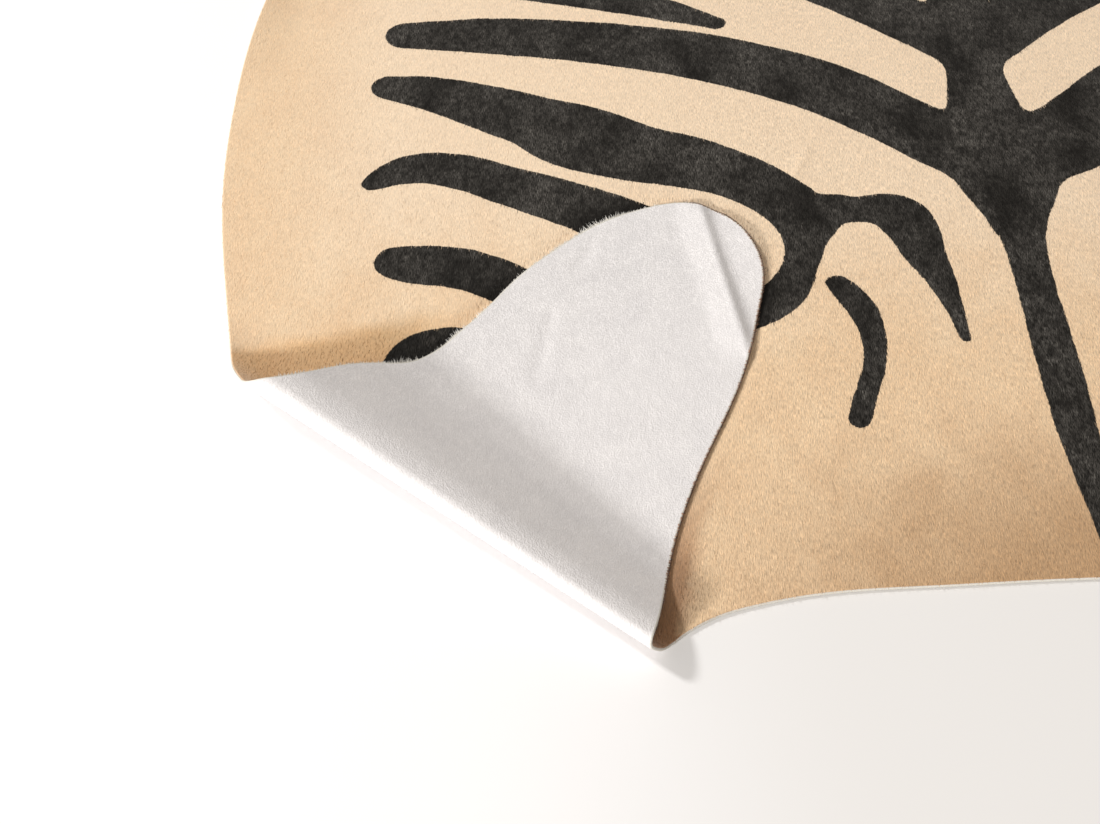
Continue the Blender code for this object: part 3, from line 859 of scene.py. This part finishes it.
leather, _places = closed_sheet(
    "suede_leather",
    (
        (EDGE_ROUND + RIM_BAND, flesh_side),
        (EDGE_ROUND, flesh_side),
        (0.0, lambda places: flesh_side(places) + EDGE_ROUND),
        (0.0, steady(HALF - EDGE_ROUND)),
        (EDGE_ROUND, steady(HALF)),
    ),
    sheet_places(False),
    sheet_places(False),
    "under",
)
coat, coat_places = closed_sheet(
    "hair_coat",
    (
        (COAT_INSET, steady(HALF - COAT_SINK)),
        (COAT_INSET + COAT_EDGE, lambda places: coat_top(places) - COAT_EDGE),
        (COAT_INSET + COAT_SHOULDER, coat_top),
        (COAT_INSET + COAT_SHOULDER + RIM_BAND, coat_top),
    ),
    sheet_places(False),
    sheet_places(True),
    "top",
)
set_values(coat.data, {
    "ink": print_distance(coat_places),
    "shade": np.full(len(coat_places), 0.5),
    **hair_values(coat_places),
})


# --- The hair ---------------------------------------------------------------------------------

def hair_heading(places):
    """Unit vectors on the flat hide: the hair lies towards the tail, and down the legs."""
    side = np.sign(places[:, 0])
    out = np.abs(places[:, 0])
    lean = LEAN * smooth_step(out / LEAN_FULL) + STRAY * soft_noise(places, cell=0.070, seed=21)
    lean = side * lean + STRAY * soft_noise(places, cell=0.014, seed=22)
    body = np.column_stack((lean, -np.ones(len(places))))
    hind = smooth_step((out - HIND_FROM[0]) / HIND_SOFT[0])
    hind *= smooth_step((HIND_FROM[1] - places[:, 1]) / HIND_SOFT[1])
    front = smooth_step((out - FRONT_FROM[0]) / FRONT_SOFT[0])
    front *= smooth_step((places[:, 1] - FRONT_FROM[1]) / FRONT_SOFT[1])
    hind_way = np.column_stack((HIND_WAY[0] * side + lean, np.full(len(places), HIND_WAY[1])))
    front_way = np.column_stack((FRONT_WAY[0] * side, FRONT_WAY[1] + lean))
    way = body + hind[:, None] * (hind_way - body)
    way += front[:, None] * (front_way - way)
    return way / np.linalg.norm(way, axis=1)[:, None]


def turned_by(way, angle):
    cos, sin = np.cos(angle), np.sin(angle)
    return np.column_stack((cos * way[:, 0] - sin * way[:, 1], sin * way[:, 0] + cos * way[:, 1]))


def lock_roots(chance):
    """Evenly strewn places inside the rim for the locks' roots, from the rump to the neck."""
    roots = hexagon_grid(LOCK_SPACING)
    roots += chance.uniform(-0.5, 0.5, roots.shape) * LOCK_SPACING
    roots = roots[rim_distance(roots) > COAT_INSET + LOCK_INSET]
    angle = about_apex(roots)[1]
    in_roll = smooth_step((angle - HIDDEN_FROM) / HIDDEN_SOFT) * (angle < LEG_SIDE)
    hidden = np.maximum(under_the_leg(roots), in_roll)
    hidden *= smooth_step((rim_distance(roots) - HIDDEN_INSET) / HIDDEN_INSET)
    away = np.linalg.norm(roots - FULL_COAT_AT, axis=1)
    far = smooth_step((away - FULL_COAT_REACH) / FULL_COAT_REACH)
    share = (1.0 - FAR_SHARE * far) * (1.0 - HIDDEN_SHARE * hidden)
    roots = roots[chance.uniform(0.0, 1.0, len(roots)) < share]
    return roots[np.argsort(roots[:, 1], kind="stable")]


def own_map(roots, extent, spread):
    """Places on a piece's own map for its hairs' corners, spread close round their roots."""
    low = extent.min(axis=0) - MAP_MARGIN
    size = (extent.max(axis=0) + MAP_MARGIN - low).max()
    return ((roots[:, None, :] + spread - low) / size).reshape(-1, 2)


def make_locks(name, roots, chance):
    """Locks of hair as one mesh. Each is a thin wedge of four triangles that lies along the coat."""
    count = len(roots)
    way = turned_by(hair_heading(roots), chance.normal(0.0, LOCK_TURN, count))
    across = turned_by(way, math.pi / 2.0)
    length = LOCK_LENGTH * chance.uniform(*LOCK_LENGTHS, count)
    width = LOCK_WIDTH * chance.uniform(*HAIR_WIDTHS, count)
    inside = rim_distance(roots)
    beyond = rim_distance(roots + length[:, None] * way)
    overhang = chance.uniform(*LOCK_OVERHANG, count)
    cut = (inside + overhang) / np.maximum(inside - beyond, 1e-6)
    length = np.where(beyond < -overhang, length * np.clip(cut, SHORTEST_LOCK, 1.0), length)
    squeeze = coat_squeeze(roots)
    base = coat_top(roots) - LOCK_SINK
    top = base + LOCK_SINK
    pressed = 1.0 - LOCK_PRESSED * (1.0 - squeeze)
    rise = LOCK_RISE * chance.uniform(*LOCK_RISES, count) * pressed
    crest = LOCK_CREST[0] * width + LOCK_CREST[1] * rise
    drift = chance.uniform(-LOCK_DRIFT, LOCK_DRIFT, count) * width
    flat = np.stack((
        roots + (0.5 * width)[:, None] * across,
        roots - (0.5 * width)[:, None] * across,
        roots + (LOCK_CREST_AT * length)[:, None] * way + drift[:, None] * across,
        roots + length[:, None] * way,
    ), axis=1)
    lift = np.stack((base, base, top + crest, top + rise), axis=1)
    spots = lie_down(flat.reshape(-1, 2), lift.ravel())
    corners = np.array((0, 1, 2, 1, 3, 2, 3, 0, 2, 0, 3, 1))
    triangles = (4 * np.arange(count)[:, None] + corners).reshape(-1, 3)
    spread = LOCK_MAP_REACH * np.array(((1.0, 0.0), (-1.0, 0.0), (0.0, 1.0), (0.0, -1.0)))
    corner_map = own_map(roots, flat.reshape(-1, 2), spread)[triangles.ravel()]
    ink = print_distance(roots + (LOCK_COLOUR_AT * length)[:, None] * way)
    values = {
        "flat_place": np.repeat(level_vectors(roots), 4, axis=0),
        "ink": np.repeat(ink + chance.normal(0.0, INK_SPREAD, count), 4),
        "shade": np.repeat(chance.uniform(0.0, 1.0, count), 4),
    }
    values |= {title: np.repeat(numbers, 4) for title, numbers in hair_values(roots).items()}
    return new_mesh(name, spots, triangles, corner_map, values)


def make_edge_hairs(name, chance):
    """The coat's hairs that come out past the turned leg's edge and up round it, as one mesh.
    Each is a three-sided wedge with a bend in it, of ten triangles."""
    rim = evenly_spaced(SMOOTH_RIM, EDGE_HAIR_SPACING)
    outward = outward_normals(rim)
    angle = about_apex(rim)[1]
    clump = smooth_step(0.35 + 0.9 * soft_noise(rim, cell=0.030, seed=31))  # 0 where they are few
    for x, y, reach, much in EDGE_CLUMPS:
        away = np.hypot(rim[:, 0] - x, rim[:, 1] - y)
        clump = np.maximum(clump, much * (1.0 - smooth_step(away / reach)))
    kept = (angle > OVER_ENDS) & (angle < LEG_SIDE)
    front = smooth_step((outward[:, 1] + 0.75) / 0.5)  # 1 on the leg's front edge, 0 on its back
    share = np.maximum(EDGE_HAIR_SHARE + (1.0 - EDGE_HAIR_SHARE) * clump, 1.0 - front)
    kept &= chance.uniform(0.0, 1.0, len(rim)) < share
    rim, outward, clump, front = rim[kept], outward[kept], clump[kept], front[kept]
    count = len(rim)
    curls = (chance.uniform(0.0, 1.0, count) < CURL_SHARE) & (front < 0.5)
    together, apart = EDGE_HAIR_SWEEP
    sweep = together * soft_noise(rim, cell=0.012, seed=32) + chance.normal(0.0, apart, count)
    way = turned_by(outward, sweep)
    across = turned_by(way, math.pi / 2.0)
    least, more = EDGE_HAIR_LENGTH
    length = (least + more * chance.uniform(0.0, 1.0, count) ** 2) * (EDGE_HAIR_SHORT + clump)
    half_width = 0.5 * EDGE_HAIR_WIDTH * chance.uniform(*HAIR_WIDTHS, count)
    half_width *= np.where(curls, CURL_WIDER, 1.0)
    root = rim - np.where(curls, CURL_INSET, EDGE_HAIR_INSET)[:, None] * outward
    bend = rim + chance.uniform(*EDGE_HAIR_BEND, count)[:, None] * outward
    tip = bend + length[:, None] * way
    curled_in = chance.uniform(*CURL_REACH, count)[:, None] * outward
    curled_tip = rim + CURL_ASIDE * turned_by(way, CURL_TURN) - curled_in
    tip[curls] = curled_tip[curls]
    side = half_width[:, None] * across
    flat = np.stack((root + side, root - side, root, bend + side, bend - side, bend, tip), axis=1)
    suede_height = LEG_THIN - HALF
    under = HALF + np.where(curls, CURL_ROOT_LIFT, EDGE_HAIR_ROOT_LIFT)
    at_bend = np.where(curls, suede_height - CURL_BEND_LIFT, 0.6 * HALF)
    past_suede = chance.uniform(*EDGE_HAIR_RISE, count) * length
    top = suede_height - np.where(curls, CURL_TIP_LIFT, past_suede)
    thick = 1.4 * half_width
    lift = np.stack((under, under, under + thick, at_bend, at_bend, at_bend + thick, top), axis=1)
    spots = lie_down(flat.reshape(-1, 2), lift.ravel())
    corners = np.array((
        0, 1, 2, 1, 0, 3, 1, 3, 4, 2, 1, 4, 2, 4, 5, 0, 2, 5, 0, 5, 3, 4, 3, 6, 5, 4, 6, 3, 5, 6
    ))
    triangles = (7 * np.arange(count)[:, None] + corners).reshape(-1, 3)
    turns = np.arange(7) * math.tau / 7.0
    spread = EDGE_HAIR_MAP_REACH * np.column_stack((np.cos(turns), np.sin(turns)))
    corner_map = own_map(rim, rim, spread)[triangles.ravel()]
    values = {
        "flat_place": np.repeat(level_vectors(rim), 7, axis=0),
        "front": np.repeat(front, 7),
        "shade": np.repeat(chance.uniform(0.0, 1.0, count), 7),
    }
    return new_mesh(name, spots, triangles, corner_map, values)


ZONES = ("rump", "flank", "belly", "shoulder", "neck")
chance = np.random.default_rng(5)
shares = np.array_split(lock_roots(chance), len(ZONES))
lock_pieces = [
    make_locks(f"hair_locks_{zone}", roots, chance) for zone, roots in zip(ZONES, shares)
]
edge_hairs = make_edge_hairs("edge_hairs", np.random.default_rng(6))


# --- Materials --------------------------------------------------------------------------------

LOOK_AT = np.array((-0.520, 0.200, 0.0)) - MIDDLE  # the middle of the view, and of the stage

# Textures' scales: cells a metre across the spine and along it
HAIR_STREAKS = (1250.0, 160.0, 1.0)
HAIR_TUFTS = (150.0, 70.0, 1.0)
HAIR_MOTTLE = (16.0, 11.0, 1.0)
SUEDE_NAP = (330.0, 430.0, 1.0)
SUEDE_SPECKS = (560.0, 700.0, 1.0)
SUEDE_STROKES = (90.0, 130.0, 1.0)
SUEDE_CLOUDS = (26.0, 26.0, 1.0)
FIBRES = (900.0, 900.0, 1.0)
FLOOR_CLOUDS = (2.0, 2.0, 2.0)

# Colours, as linear red, green and blue
TAN_LIGHT = (0.810, 0.595, 0.375, 1.0)
TAN_DARK = (0.760, 0.530, 0.320, 1.0)
TAN_RED = (0.740, 0.495, 0.285, 1.0)
TAN_BROWN = (0.450, 0.262, 0.120, 1.0)
TAN_PALE = (0.870, 0.700, 0.520, 1.0)
PALE_ALONG = (0.24, 0.56)  # the hair pales towards the neck between these two
PALE_OUT = (-0.87, -0.68)  # and from the left side's edge inwards between these
COARSE_OUT = (0.20, 0.75)  # distances from the spine between which the hair looks finer and finer
COARSE = (0.42, 0.22)  # how much its streaks differ in light at those two
SHADE_TINT_RED = (0.950, 0.815, 0.620, 1.0)  # the painted shadow's tint that the colours are taken down to
FOLD_SHADE_BROWN = (0.490, 0.340, 0.230, 1.0)  # the painted shade that the fold's depth takes the colours down to
BLACK_DEEP = (0.003, 0.002, 0.001, 1.0)
BLACK_WORN = (0.122, 0.112, 0.100, 1.0)
UMBER_SHADE = (0.170, 0.075, 0.038, 1.0)
UMBER_RED_SHADE = (0.320, 0.145, 0.065, 1.0)
EDGE_PALE = (0.930, 0.900, 0.850, 1.0)
EDGE_PALE_DARK = (0.830, 0.770, 0.680, 1.0)
SUEDE_PALE = (0.768, 0.735, 0.728, 1.0)
SUEDE_GREY = (0.706, 0.676, 0.674, 1.0)
SUEDE_LAY = math.radians(-25.0)  # the nap lies across the leg
SUEDE_END = (-0.92, -0.72)  # the nap is rougher towards the leg's end, between these
DARK_TAN_PLACE = (0.0, -0.03, 0.0)  # the middle of the round patch near the rump where the tan gets darker and browner
DARK_TAN_SCALE = (1.0 / 0.47, 1.0 / 0.275, 0.0)
DARK_TAN_DEPTH = 0.95
CUT_PALE = (0.720, 0.690, 0.630, 1.0)
CUT_DARK = (0.600, 0.570, 0.510, 1.0)
# The floor has painted light on the left, which washes out the shade under the roll, and painted shade on
# the right.
FLOOR_LIT_LEFT = (0.905, 0.893, 0.900, 1.0)
FLOOR_SHADED_RIGHT = (0.802, 0.782, 0.770, 1.0)
FLOOR_LIGHT_BLEND = (-0.10, 0.28)  # its painted light and painted shade blend between these distances from the view's middle


class Nodes:
    """Short names for making a material's nodes and links."""

    def __init__(self, name):
        self.material = bpy.data.materials.new(name)
        self.material.use_nodes = True
        self.tree = self.material.node_tree
        self.shader = self.tree.nodes["Principled BSDF"]

    def add(self, kind, inputs=None, **settings):
        node = self.tree.nodes.new(kind)
        for key, value in settings.items():
            setattr(node, key, value)
        for key, value in (inputs or {}).items():
            self.set(node.inputs[key], value)
        return node

    def set(self, socket, value):
        if isinstance(value, bpy.types.NodeSocket):
            self.tree.links.new(value, socket)
        else:
            socket.default_value = value

    def number(self, name):
        """One of the numbers that the mesh holds for its points."""
        return self.add("ShaderNodeAttribute", attribute_name=name).outputs["Fac"]

    def flat_place(self):
        return self.add("ShaderNodeAttribute", attribute_name="flat_place").outputs["Vector"]

    def times(self, first, second):
        return self.math("MULTIPLY", first, second)

    def vectors(self, operation, first, second):
        return self.add("ShaderNodeVectorMath", {0: first, 1: second}, operation=operation).outputs

    def scaled(self, vector, scale):
        return self.vectors("MULTIPLY", vector, scale)[0]

    def noise(self, vector, detail=2.0, roughness=0.5, distortion=0.0):
        inputs = {"Vector": vector, "Scale": 1.0, "Detail": detail, "Roughness": roughness}
        inputs["Distortion"] = distortion
        return self.add("ShaderNodeTexNoise", inputs).outputs["Fac"]

    def cells(self, vector):
        node = self.add("ShaderNodeTexVoronoi", {"Vector": vector, "Scale": 1.0, "Randomness": 1.0})
        return node.outputs["Distance"]

    def remap(self, value, low, high, to_low=0.0, to_high=1.0, smooth=False):
        kind = "SMOOTHSTEP" if smooth else "LINEAR"
        inputs = {"Value": value, "From Min": low, "From Max": high, "To Min": to_low, "To Max": to_high}
        return self.add("ShaderNodeMapRange", inputs, interpolation_type=kind).outputs["Result"]

    def math(self, operation, first, second):
        return self.add("ShaderNodeMath", {0: first, 1: second}, operation=operation).outputs[0]

    def mix(self, factor, first, second, blend="MIX"):
        node = self.add("ShaderNodeMix", data_type="RGBA", blend_type=blend)
        self.set(node.inputs["Factor"], factor)
        self.set(node.inputs["A"], first)
        self.set(node.inputs["B"], second)
        return node.outputs["Result"]

    def darkened(self, colour, level):
        """The colour, lighter or darker by a level that is 1 where it stays as it is."""
        grey = self.add("ShaderNodeCombineColor", {"Red": level, "Green": level, "Blue": level})
        return self.mix(1.0, colour, grey.outputs["Color"], "MULTIPLY")

    def bump(self, height, strength, distance, normal=None):
        inputs = {"Height": height, "Strength": strength, "Distance": distance}
        if normal is not None:
            inputs["Normal"] = normal
        return self.add("ShaderNodeBump", inputs).outputs["Normal"]

    def finish(self, **inputs):
        for key, value in inputs.items():
            self.set(self.shader.inputs[key.replace("_", " ")], value)
        return self.material


def hair_material(name, ragged):
    """Short glossy hair: tan, and black where the print is. ragged is in metres."""
    n = Nodes(name)
    place = n.flat_place()
    streaks = n.noise(n.scaled(place, HAIR_STREAKS), 2.0, 0.65, 0.15)
    tufts = n.noise(n.scaled(place, HAIR_TUFTS), 3.0, 0.55)
    mottle = n.noise(n.scaled(place, HAIR_MOTTLE), 4.0, 0.55, 0.4)
    tan = n.mix(n.remap(mottle, 0.30, 0.70), TAN_DARK, TAN_LIGHT)
    tan = n.mix(n.remap(tufts, 0.30, 0.75, 0.0, 0.4), tan, TAN_RED)
    # The tan is darker and browner round a patch near the rump.
    dark_tan_reach = n.scaled(n.vectors("SUBTRACT", place, DARK_TAN_PLACE)[0], DARK_TAN_SCALE)
    dark_tan_reach = n.add("ShaderNodeVectorMath", {0: dark_tan_reach}, operation="LENGTH").outputs["Value"]
    dark_tan_reach = n.math("ADD", dark_tan_reach, n.remap(mottle, 0.25, 0.75, -0.10, 0.10))
    tan = n.mix(n.remap(dark_tan_reach, 0.15, 1.0, DARK_TAN_DEPTH, 0.0, smooth=True), tan, TAN_BROWN)
    axes = n.add("ShaderNodeSeparateXYZ", {"Vector": place}).outputs
    forward = n.math("ADD", axes["Y"], n.remap(mottle, 0.25, 0.75, -0.06, 0.06))
    pale = n.remap(forward, *PALE_ALONG, 0.0, 0.62, smooth=True)
    pale = n.times(pale, n.remap(axes["X"], *PALE_OUT, smooth=True))
    tan = n.mix(pale, tan, TAN_PALE)
    # Painted shadow: the hair that the roll's wide end shades is tinted redder.
    shade_tint = n.number("shade_tint")
    tan = n.mix(shade_tint, tan, n.mix(1.0, tan, SHADE_TINT_RED, "MULTIPLY"))
    worn = n.times(n.remap(streaks, 0.36, 0.68), n.remap(tufts, 0.32, 0.68, 0.25, 1.18))
    worn = n.times(worn, n.remap(mottle, 0.34, 0.66, 0.25, 1.25))
    # Painted shade: the black is deeper beside the turned leg and in the roll's shadow.
    black_shade = n.math("MAXIMUM", n.number("beside"), shade_tint)
    worn = n.times(worn, n.remap(black_shade, 0.0, 1.0, 1.0, 0.15))
    black = n.mix(worn, BLACK_DEEP, BLACK_WORN)
    jitter = n.remap(streaks, 0.25, 0.75, -ragged, ragged)
    edge = n.math("ADD", n.number("ink"), jitter)
    outside = n.remap(edge, -INK_SOFT, INK_SOFT, smooth=True)
    colour = n.mix(outside, black, tan)
    out = n.math("ABSOLUTE", axes["X"], 0.0)
    coarse = n.remap(out, *COARSE_OUT, *COARSE, smooth=True)
    grain = n.times(n.remap(streaks, 0.25, 0.75, -1.0, 1.0), coarse)
    light = n.times(n.math("ADD", grain, 1.0), n.remap(n.number("shade"), 0.0, 1.0, 0.95, 1.05))
    light = n.times(light, n.remap(tufts, 0.25, 0.75, 0.94, 1.06))
    colour = n.darkened(colour, light)
    # Painted shade: brown in the fold and beside the turned leg, where the roll shades the hair.
    colour = n.mix(n.number("fold"), colour, n.mix(1.0, colour, FOLD_SHADE_BROWN, "MULTIPLY"))
    roughness = n.remap(outside, 0.0, 1.0, 0.42, 0.55)
    normal = n.bump(streaks, 0.9, 0.0008)
    return n.finish(
        Base_Color=colour, Roughness=roughness, Normal=normal, IOR=1.5,
        Specular_IOR_Level=n.remap(outside, 0.0, 1.0, 0.10, 0.55),
        Sheen_Weight=n.remap(outside, 0.0, 1.0, 0.02, 0.35), Sheen_Roughness=0.5,
    )


def edge_hair_material():
    """The hairs round the turned leg's edge: pale on its front edge, and umber elsewhere, the umber partly
    their own colour and partly painted shade along the edge.
    """
    n = Nodes("edge_hair")
    strands = n.noise(n.scaled(n.flat_place(), FIBRES), 2.0, 0.6)
    # Painted shade: the umber hairs darken the strip along the back edge.
    tan = n.mix(n.remap(strands, 0.3, 0.7), UMBER_SHADE, UMBER_RED_SHADE)
    pale_hairs = n.mix(n.remap(strands, 0.3, 0.7), EDGE_PALE_DARK, EDGE_PALE)
    colour = n.mix(n.number("front"), tan, pale_hairs)
    colour = n.darkened(colour, n.remap(n.number("shade"), 0.0, 1.0, 0.80, 1.10))
    return n.finish(
        Base_Color=colour, Roughness=0.55, Normal=n.bump(strands, 0.4, 0.0003),
        Specular_IOR_Level=0.4, Sheen_Weight=0.3, Sheen_Roughness=0.5,
    )


def suede_material():
    """The flesh side: brushed, matt and pale grey."""
    n = Nodes("suede")
    place = n.flat_place()
    rotate = {"Vector": place, "Angle": SUEDE_LAY}
    turned = n.add("ShaderNodeVectorRotate", rotate, rotation_type="Z_AXIS").outputs["Vector"]
    nap = n.noise(n.scaled(turned, SUEDE_NAP), 2.0, 0.70, 1.4)
    specks = n.cells(n.scaled(turned, SUEDE_SPECKS))
    nap = n.math("ADD", n.times(nap, 0.55), n.times(specks, 0.45))
    strokes = n.noise(n.scaled(turned, SUEDE_STROKES), 3.0, 0.6, 0.6)
    clouds = n.noise(n.scaled(place, SUEDE_CLOUDS), 4.0, 0.6, 0.6)
    colour = n.mix(n.remap(clouds, 0.30, 0.70), SUEDE_GREY, SUEDE_PALE)
    out = n.add("ShaderNodeSeparateXYZ", {"Vector": place}).outputs["X"]
    ends = n.remap(out, *SUEDE_END, 1.0, 0.0, smooth=True)
    patches = n.remap(strokes, 0.35, 0.65, 0.6, 1.3, smooth=True)
    strength = n.times(patches, n.remap(ends, 0.0, 1.0, 0.055, 0.125))
    grain = n.times(n.remap(nap, 0.30, 0.62, -1.0, 1.0), strength)
    level = n.times(n.math("ADD", grain, 1.0), n.remap(strokes, 0.3, 0.7, 0.97, 1.02))
    colour = n.darkened(colour, n.times(level, n.remap(ends, 0.0, 1.0, 1.0, 0.94)))
    normal = n.bump(nap, 0.45, 0.0016)
    normal = n.bump(strokes, 0.25, 0.0015, normal)
    return n.finish(
        Base_Color=colour, Roughness=0.95, Normal=normal, Specular_IOR_Level=0.15,
        Sheen_Weight=0.25, Sheen_Roughness=0.6,
    )


def cut_material():
    """The knife's cut through the leather."""
    n = Nodes("cut_edge")
    fibres = n.noise(n.scaled(n.flat_place(), FIBRES), 3.0, 0.6)
    colour = n.mix(n.remap(fibres, 0.3, 0.7), CUT_DARK, CUT_PALE)
    normal = n.bump(fibres, 0.5, 0.0004)
    return n.finish(Base_Color=colour, Roughness=0.85, Normal=normal, Specular_IOR_Level=0.2)


def floor_material():
    n = Nodes("floor_white")
    place = n.add("ShaderNodeTexCoord").outputs["Object"]
    clouds = n.noise(n.scaled(place, FLOOR_CLOUDS), 2.0, 0.5)
    across = n.add("ShaderNodeSeparateXYZ", {"Vector": place}).outputs["X"]
    across = n.math("ADD", across, float(-LOOK_AT[0]))
    across = n.math("ADD", across, n.remap(clouds, 0.3, 0.7, -0.02, 0.02))
    # Painted light on the left and painted shade on the right.
    colour = n.mix(n.remap(across, *FLOOR_LIGHT_BLEND, smooth=True), FLOOR_LIT_LEFT, FLOOR_SHADED_RIGHT)
    return n.finish(Base_Color=colour, Roughness=0.6, Specular_IOR_Level=0.2)


coat_hair = hair_material("coat_hair", INK_SPREAD)
lock_hair = hair_material("lock_hair", 0.0)
for surface in (suede_material(), cut_material()):
    leather.data.materials.append(surface)
for surface in (coat_hair, coat_hair):  # over its faces and round its rim
    coat.data.materials.append(surface)
for piece in lock_pieces:
    piece.data.materials.append(lock_hair)
edge_hairs.data.materials.append(edge_hair_material())


# --- The stage --------------------------------------------------------------------------------

FLOOR_REACH = 8.0
FLOOR_DROP = 0.0003  # from the hide's underside to the floor
CAMERA_DISTANCE = 1.54
CAMERA_ELEVATION = math.radians(50.0)
CAMERA_LENS = 50.4
CAMERA_SENSOR = 36.0
LIGHTS = (
    # name, azimuth and elevation in degrees, distance, width, power
    ("key", 227.0, 18.7, 8.0, 0.94, 610.0),
    ("back", 152.0, 38.5, 8.0, 1.10, 372.0),
)
LIGHT_COLOUR = (1.0, 1.0, 0.99)
ROOM_COLOUR = (1.0, 0.945, 0.875, 1.0)
ROOM_LEVEL = 0.45


def make_floor():
    mesh = bpy.data.meshes.new("floor")
    plane = bmesh.new()
    bmesh.ops.create_grid(plane, x_segments=1, y_segments=1, size=FLOOR_REACH)
    bmesh.ops.translate(plane, verts=plane.verts, vec=(0.0, 0.0, -FLOOR_DROP))
    plane.to_mesh(mesh)
    plane.free()
    mesh.materials.append(floor_material())
    floor = bpy.data.objects.new("floor", mesh)
    bpy.context.scene.collection.objects.link(floor)
    return floor


def place_at(azimuth, elevation, distance):
    """A point seen from LOOK_AT at that azimuth from +X and elevation, in degrees."""
    azimuth, elevation = math.radians(azimuth), math.radians(elevation)
    level = math.cos(elevation)
    way = Vector((math.cos(azimuth) * level, math.sin(azimuth) * level, math.sin(elevation)))
    return Vector(LOOK_AT) + distance * way


def make_camera():
    data = bpy.data.cameras.new("camera")
    data.lens = CAMERA_LENS
    data.sensor_width = CAMERA_SENSOR
    camera = bpy.data.objects.new("camera", data)
    camera.location = place_at(-90.0, math.degrees(CAMERA_ELEVATION), CAMERA_DISTANCE)
    camera.rotation_euler = (math.pi / 2.0 - CAMERA_ELEVATION, 0.0, 0.0)
    bpy.context.scene.collection.objects.link(camera)
    bpy.context.scene.camera = camera


def make_light(name, azimuth, elevation, distance, width, power):
    data = bpy.data.lights.new(name, "AREA")
    data.shape = "DISK"
    data.size = width
    data.energy = power
    data.color = LIGHT_COLOUR
    light = bpy.data.objects.new(name, data)
    light.location = place_at(azimuth, elevation, distance)
    light.rotation_euler = (Vector(LOOK_AT) - light.location).to_track_quat("-Z", "Y").to_euler()
    bpy.context.scene.collection.objects.link(light)


def make_world():
    world = bpy.data.worlds.new("studio")
    world.use_nodes = True
    background = world.node_tree.nodes["Background"]
    background.inputs["Color"].default_value = ROOM_COLOUR
    background.inputs["Strength"].default_value = ROOM_LEVEL
    bpy.context.scene.world = world


floor = make_floor()
make_camera()
for light in LIGHTS:
    make_light(*light)
make_world()
bpy.context.scene.view_settings.view_transform = "Standard"
bpy.context.scene.view_settings.look = "None"

for piece in (leather, coat, edge_hairs, *lock_pieces):
    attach(piece, "root")
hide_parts("hide")
